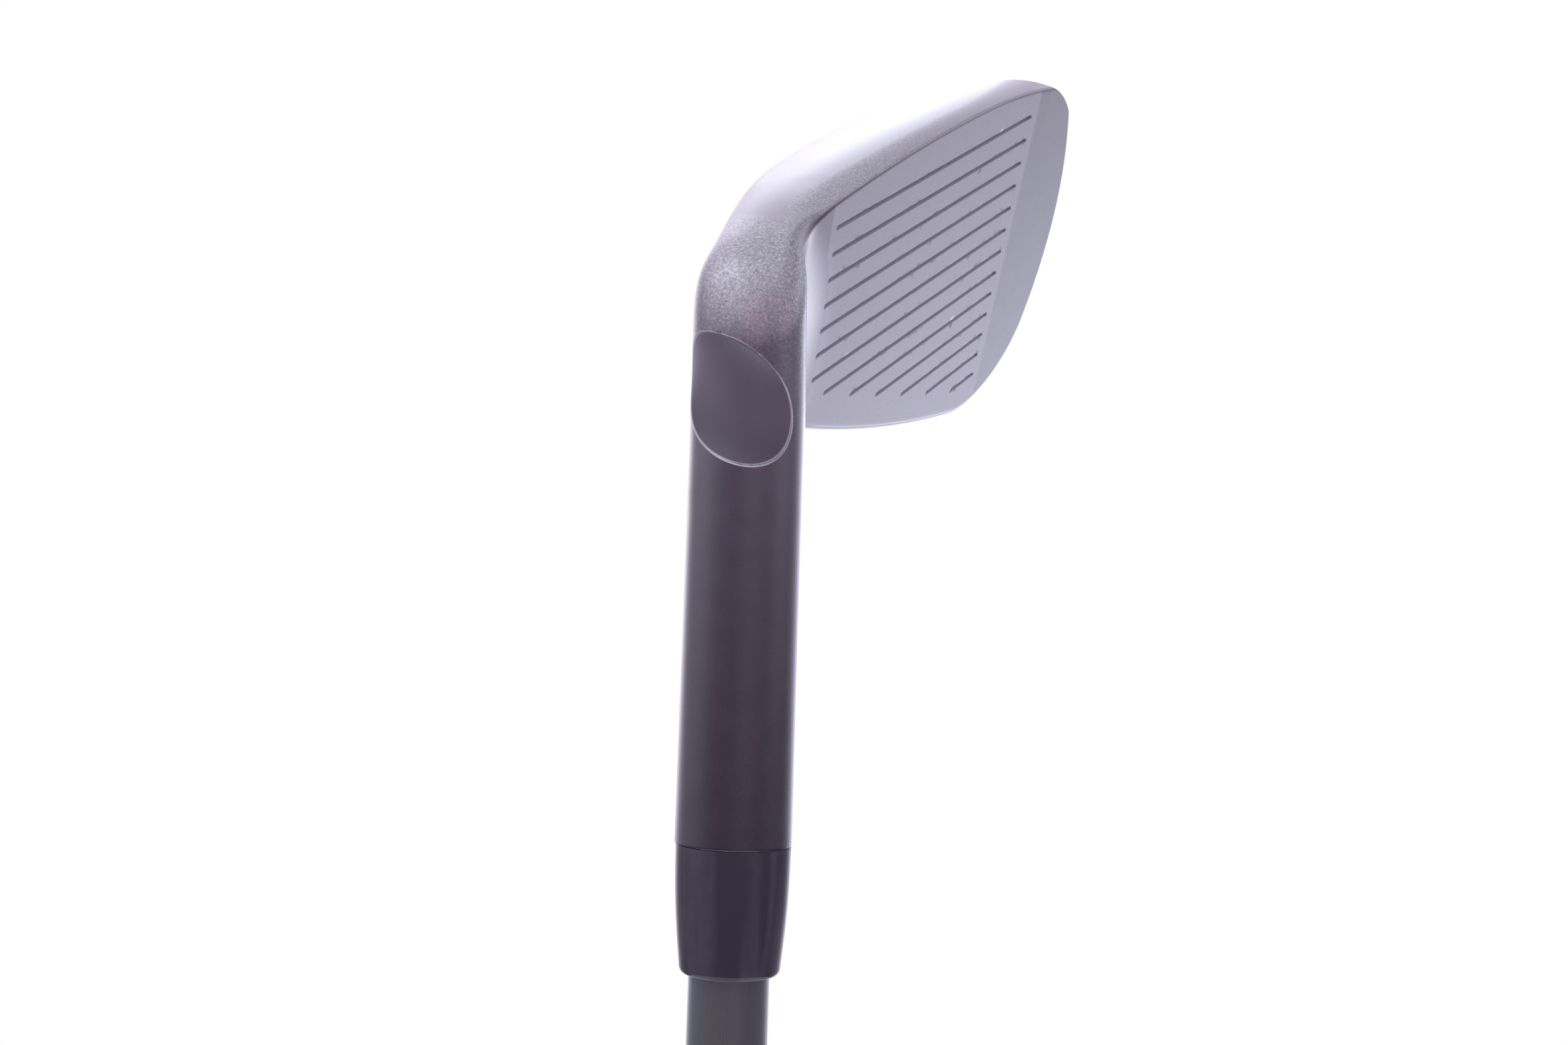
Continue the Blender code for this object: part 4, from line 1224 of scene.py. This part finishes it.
def light_world():
    """A soft studio: a bright panel behind the club, a wide light overhead, and a dim camera side."""
    world = bpy.data.worlds.new("studio")
    bpy.context.scene.world = world
    world.use_nodes = True
    tree = world.node_tree
    background = tree.nodes["Background"]
    coordinates = tree.nodes.new("ShaderNodeTexCoord")
    normal = tree.nodes.new("ShaderNodeVectorMath")
    normal.operation = "NORMALIZE"
    tree.links.new(coordinates.outputs["Generated"], normal.inputs[0])

    def arithmetic(operation, a, b):
        node = tree.nodes.new("ShaderNodeMath")
        node.operation = operation
        for socket, value in zip(node.inputs, (a, b)):
            if isinstance(value, bpy.types.NodeSocket):
                tree.links.new(value, socket)
            else:
                socket.default_value = value
        return node.outputs[0]

    def add_light(total, direction, focus, colour):
        """Add a round soft light: it fades as exp(focus * (cosine - 1)) away from its direction."""
        cosine = tree.nodes.new("ShaderNodeVectorMath")
        cosine.operation = "DOT_PRODUCT"
        tree.links.new(normal.outputs[0], cosine.inputs[0])
        cosine.inputs[1].default_value = Vector(direction).normalized()
        fall = arithmetic("SUBTRACT", cosine.outputs["Value"], 1.0)
        glow = arithmetic("EXPONENT", arithmetic("MULTIPLY", fall, focus), 0.0)
        tint = tree.nodes.new("ShaderNodeVectorMath")
        tint.operation = "SCALE"
        tint.inputs[0].default_value = colour
        tree.links.new(glow, tint.inputs["Scale"])
        both = tree.nodes.new("ShaderNodeVectorMath")
        both.operation = "ADD"
        if isinstance(total, bpy.types.NodeSocket):
            tree.links.new(total, both.inputs[0])
        else:
            both.inputs[0].default_value = total
        tree.links.new(tint.outputs["Vector"], both.inputs[1])
        return both.outputs["Vector"]

    total = ROOM_GLOW
    for light in SOFT_LIGHTS:
        total = add_light(total, *light)
    path = tree.nodes.new("ShaderNodeLightPath")
    seen = tree.nodes.new("ShaderNodeMix")
    seen.data_type = "RGBA"
    tree.links.new(path.outputs["Is Camera Ray"], seen.inputs["Factor"])
    tree.links.new(total, seen.inputs[6])
    seen.inputs[7].default_value = (1.0, 1.0, 1.0, 1.0)
    tree.links.new(seen.outputs[2], background.inputs["Color"])
    background.inputs["Strength"].default_value = 1.0


def build():
    steel = steel_material()
    place_piece(make_head(), "head_casting", steel)
    place_piece(make_ferrule(), "ferrule", ferrule_material())
    place_piece(make_shaft(), "shaft", shaft_material())
    place_piece(make_toe_weight(), "toe_weight",
                plain_metal("weight_metal", (0.42, 0.41, 0.42), 0.36, (3.0, 3.0, 0.4)))
    pad_low = CAVITY_FLOOR + CLEARANCE
    badge_low = pad_low + PAD_THICKNESS + CLEARANCE
    pad = make_plate("damping_block", pad_low, pad_low + PAD_THICKNESS, 0.0, 0.5)
    place_piece(pad, "damping_pad", rubber_material("elastomer", (0.03, 0.03, 0.035)))
    badge = make_plate("badge_plate", badge_low, badge_low + BADGE_THICKNESS, 0.6, 0.25)
    place_piece(badge, "cavity_badge",
                plain_metal("badge_metal", (0.30, 0.30, 0.34), 0.30, (0.5, 4.0, 0.5)))
    place_piece(make_grip(), "grip", rubber_material("grip_rubber", (0.020, 0.020, 0.022)))
    place_piece(make_grip_cap(), "grip_cap",
                rubber_material("cap_rubber", (0.022, 0.022, 0.025)))
    dress(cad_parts["tip_weight_pin"],
          plain_metal("brass", (0.72, 0.52, 0.25), 0.32, (3.0, 3.0, 0.5)))
    dress(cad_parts["grip_tape"], tape_material())


build()
add_camera()
add_floor()
light_world()
bpy.context.scene.view_settings.view_transform = "Standard"
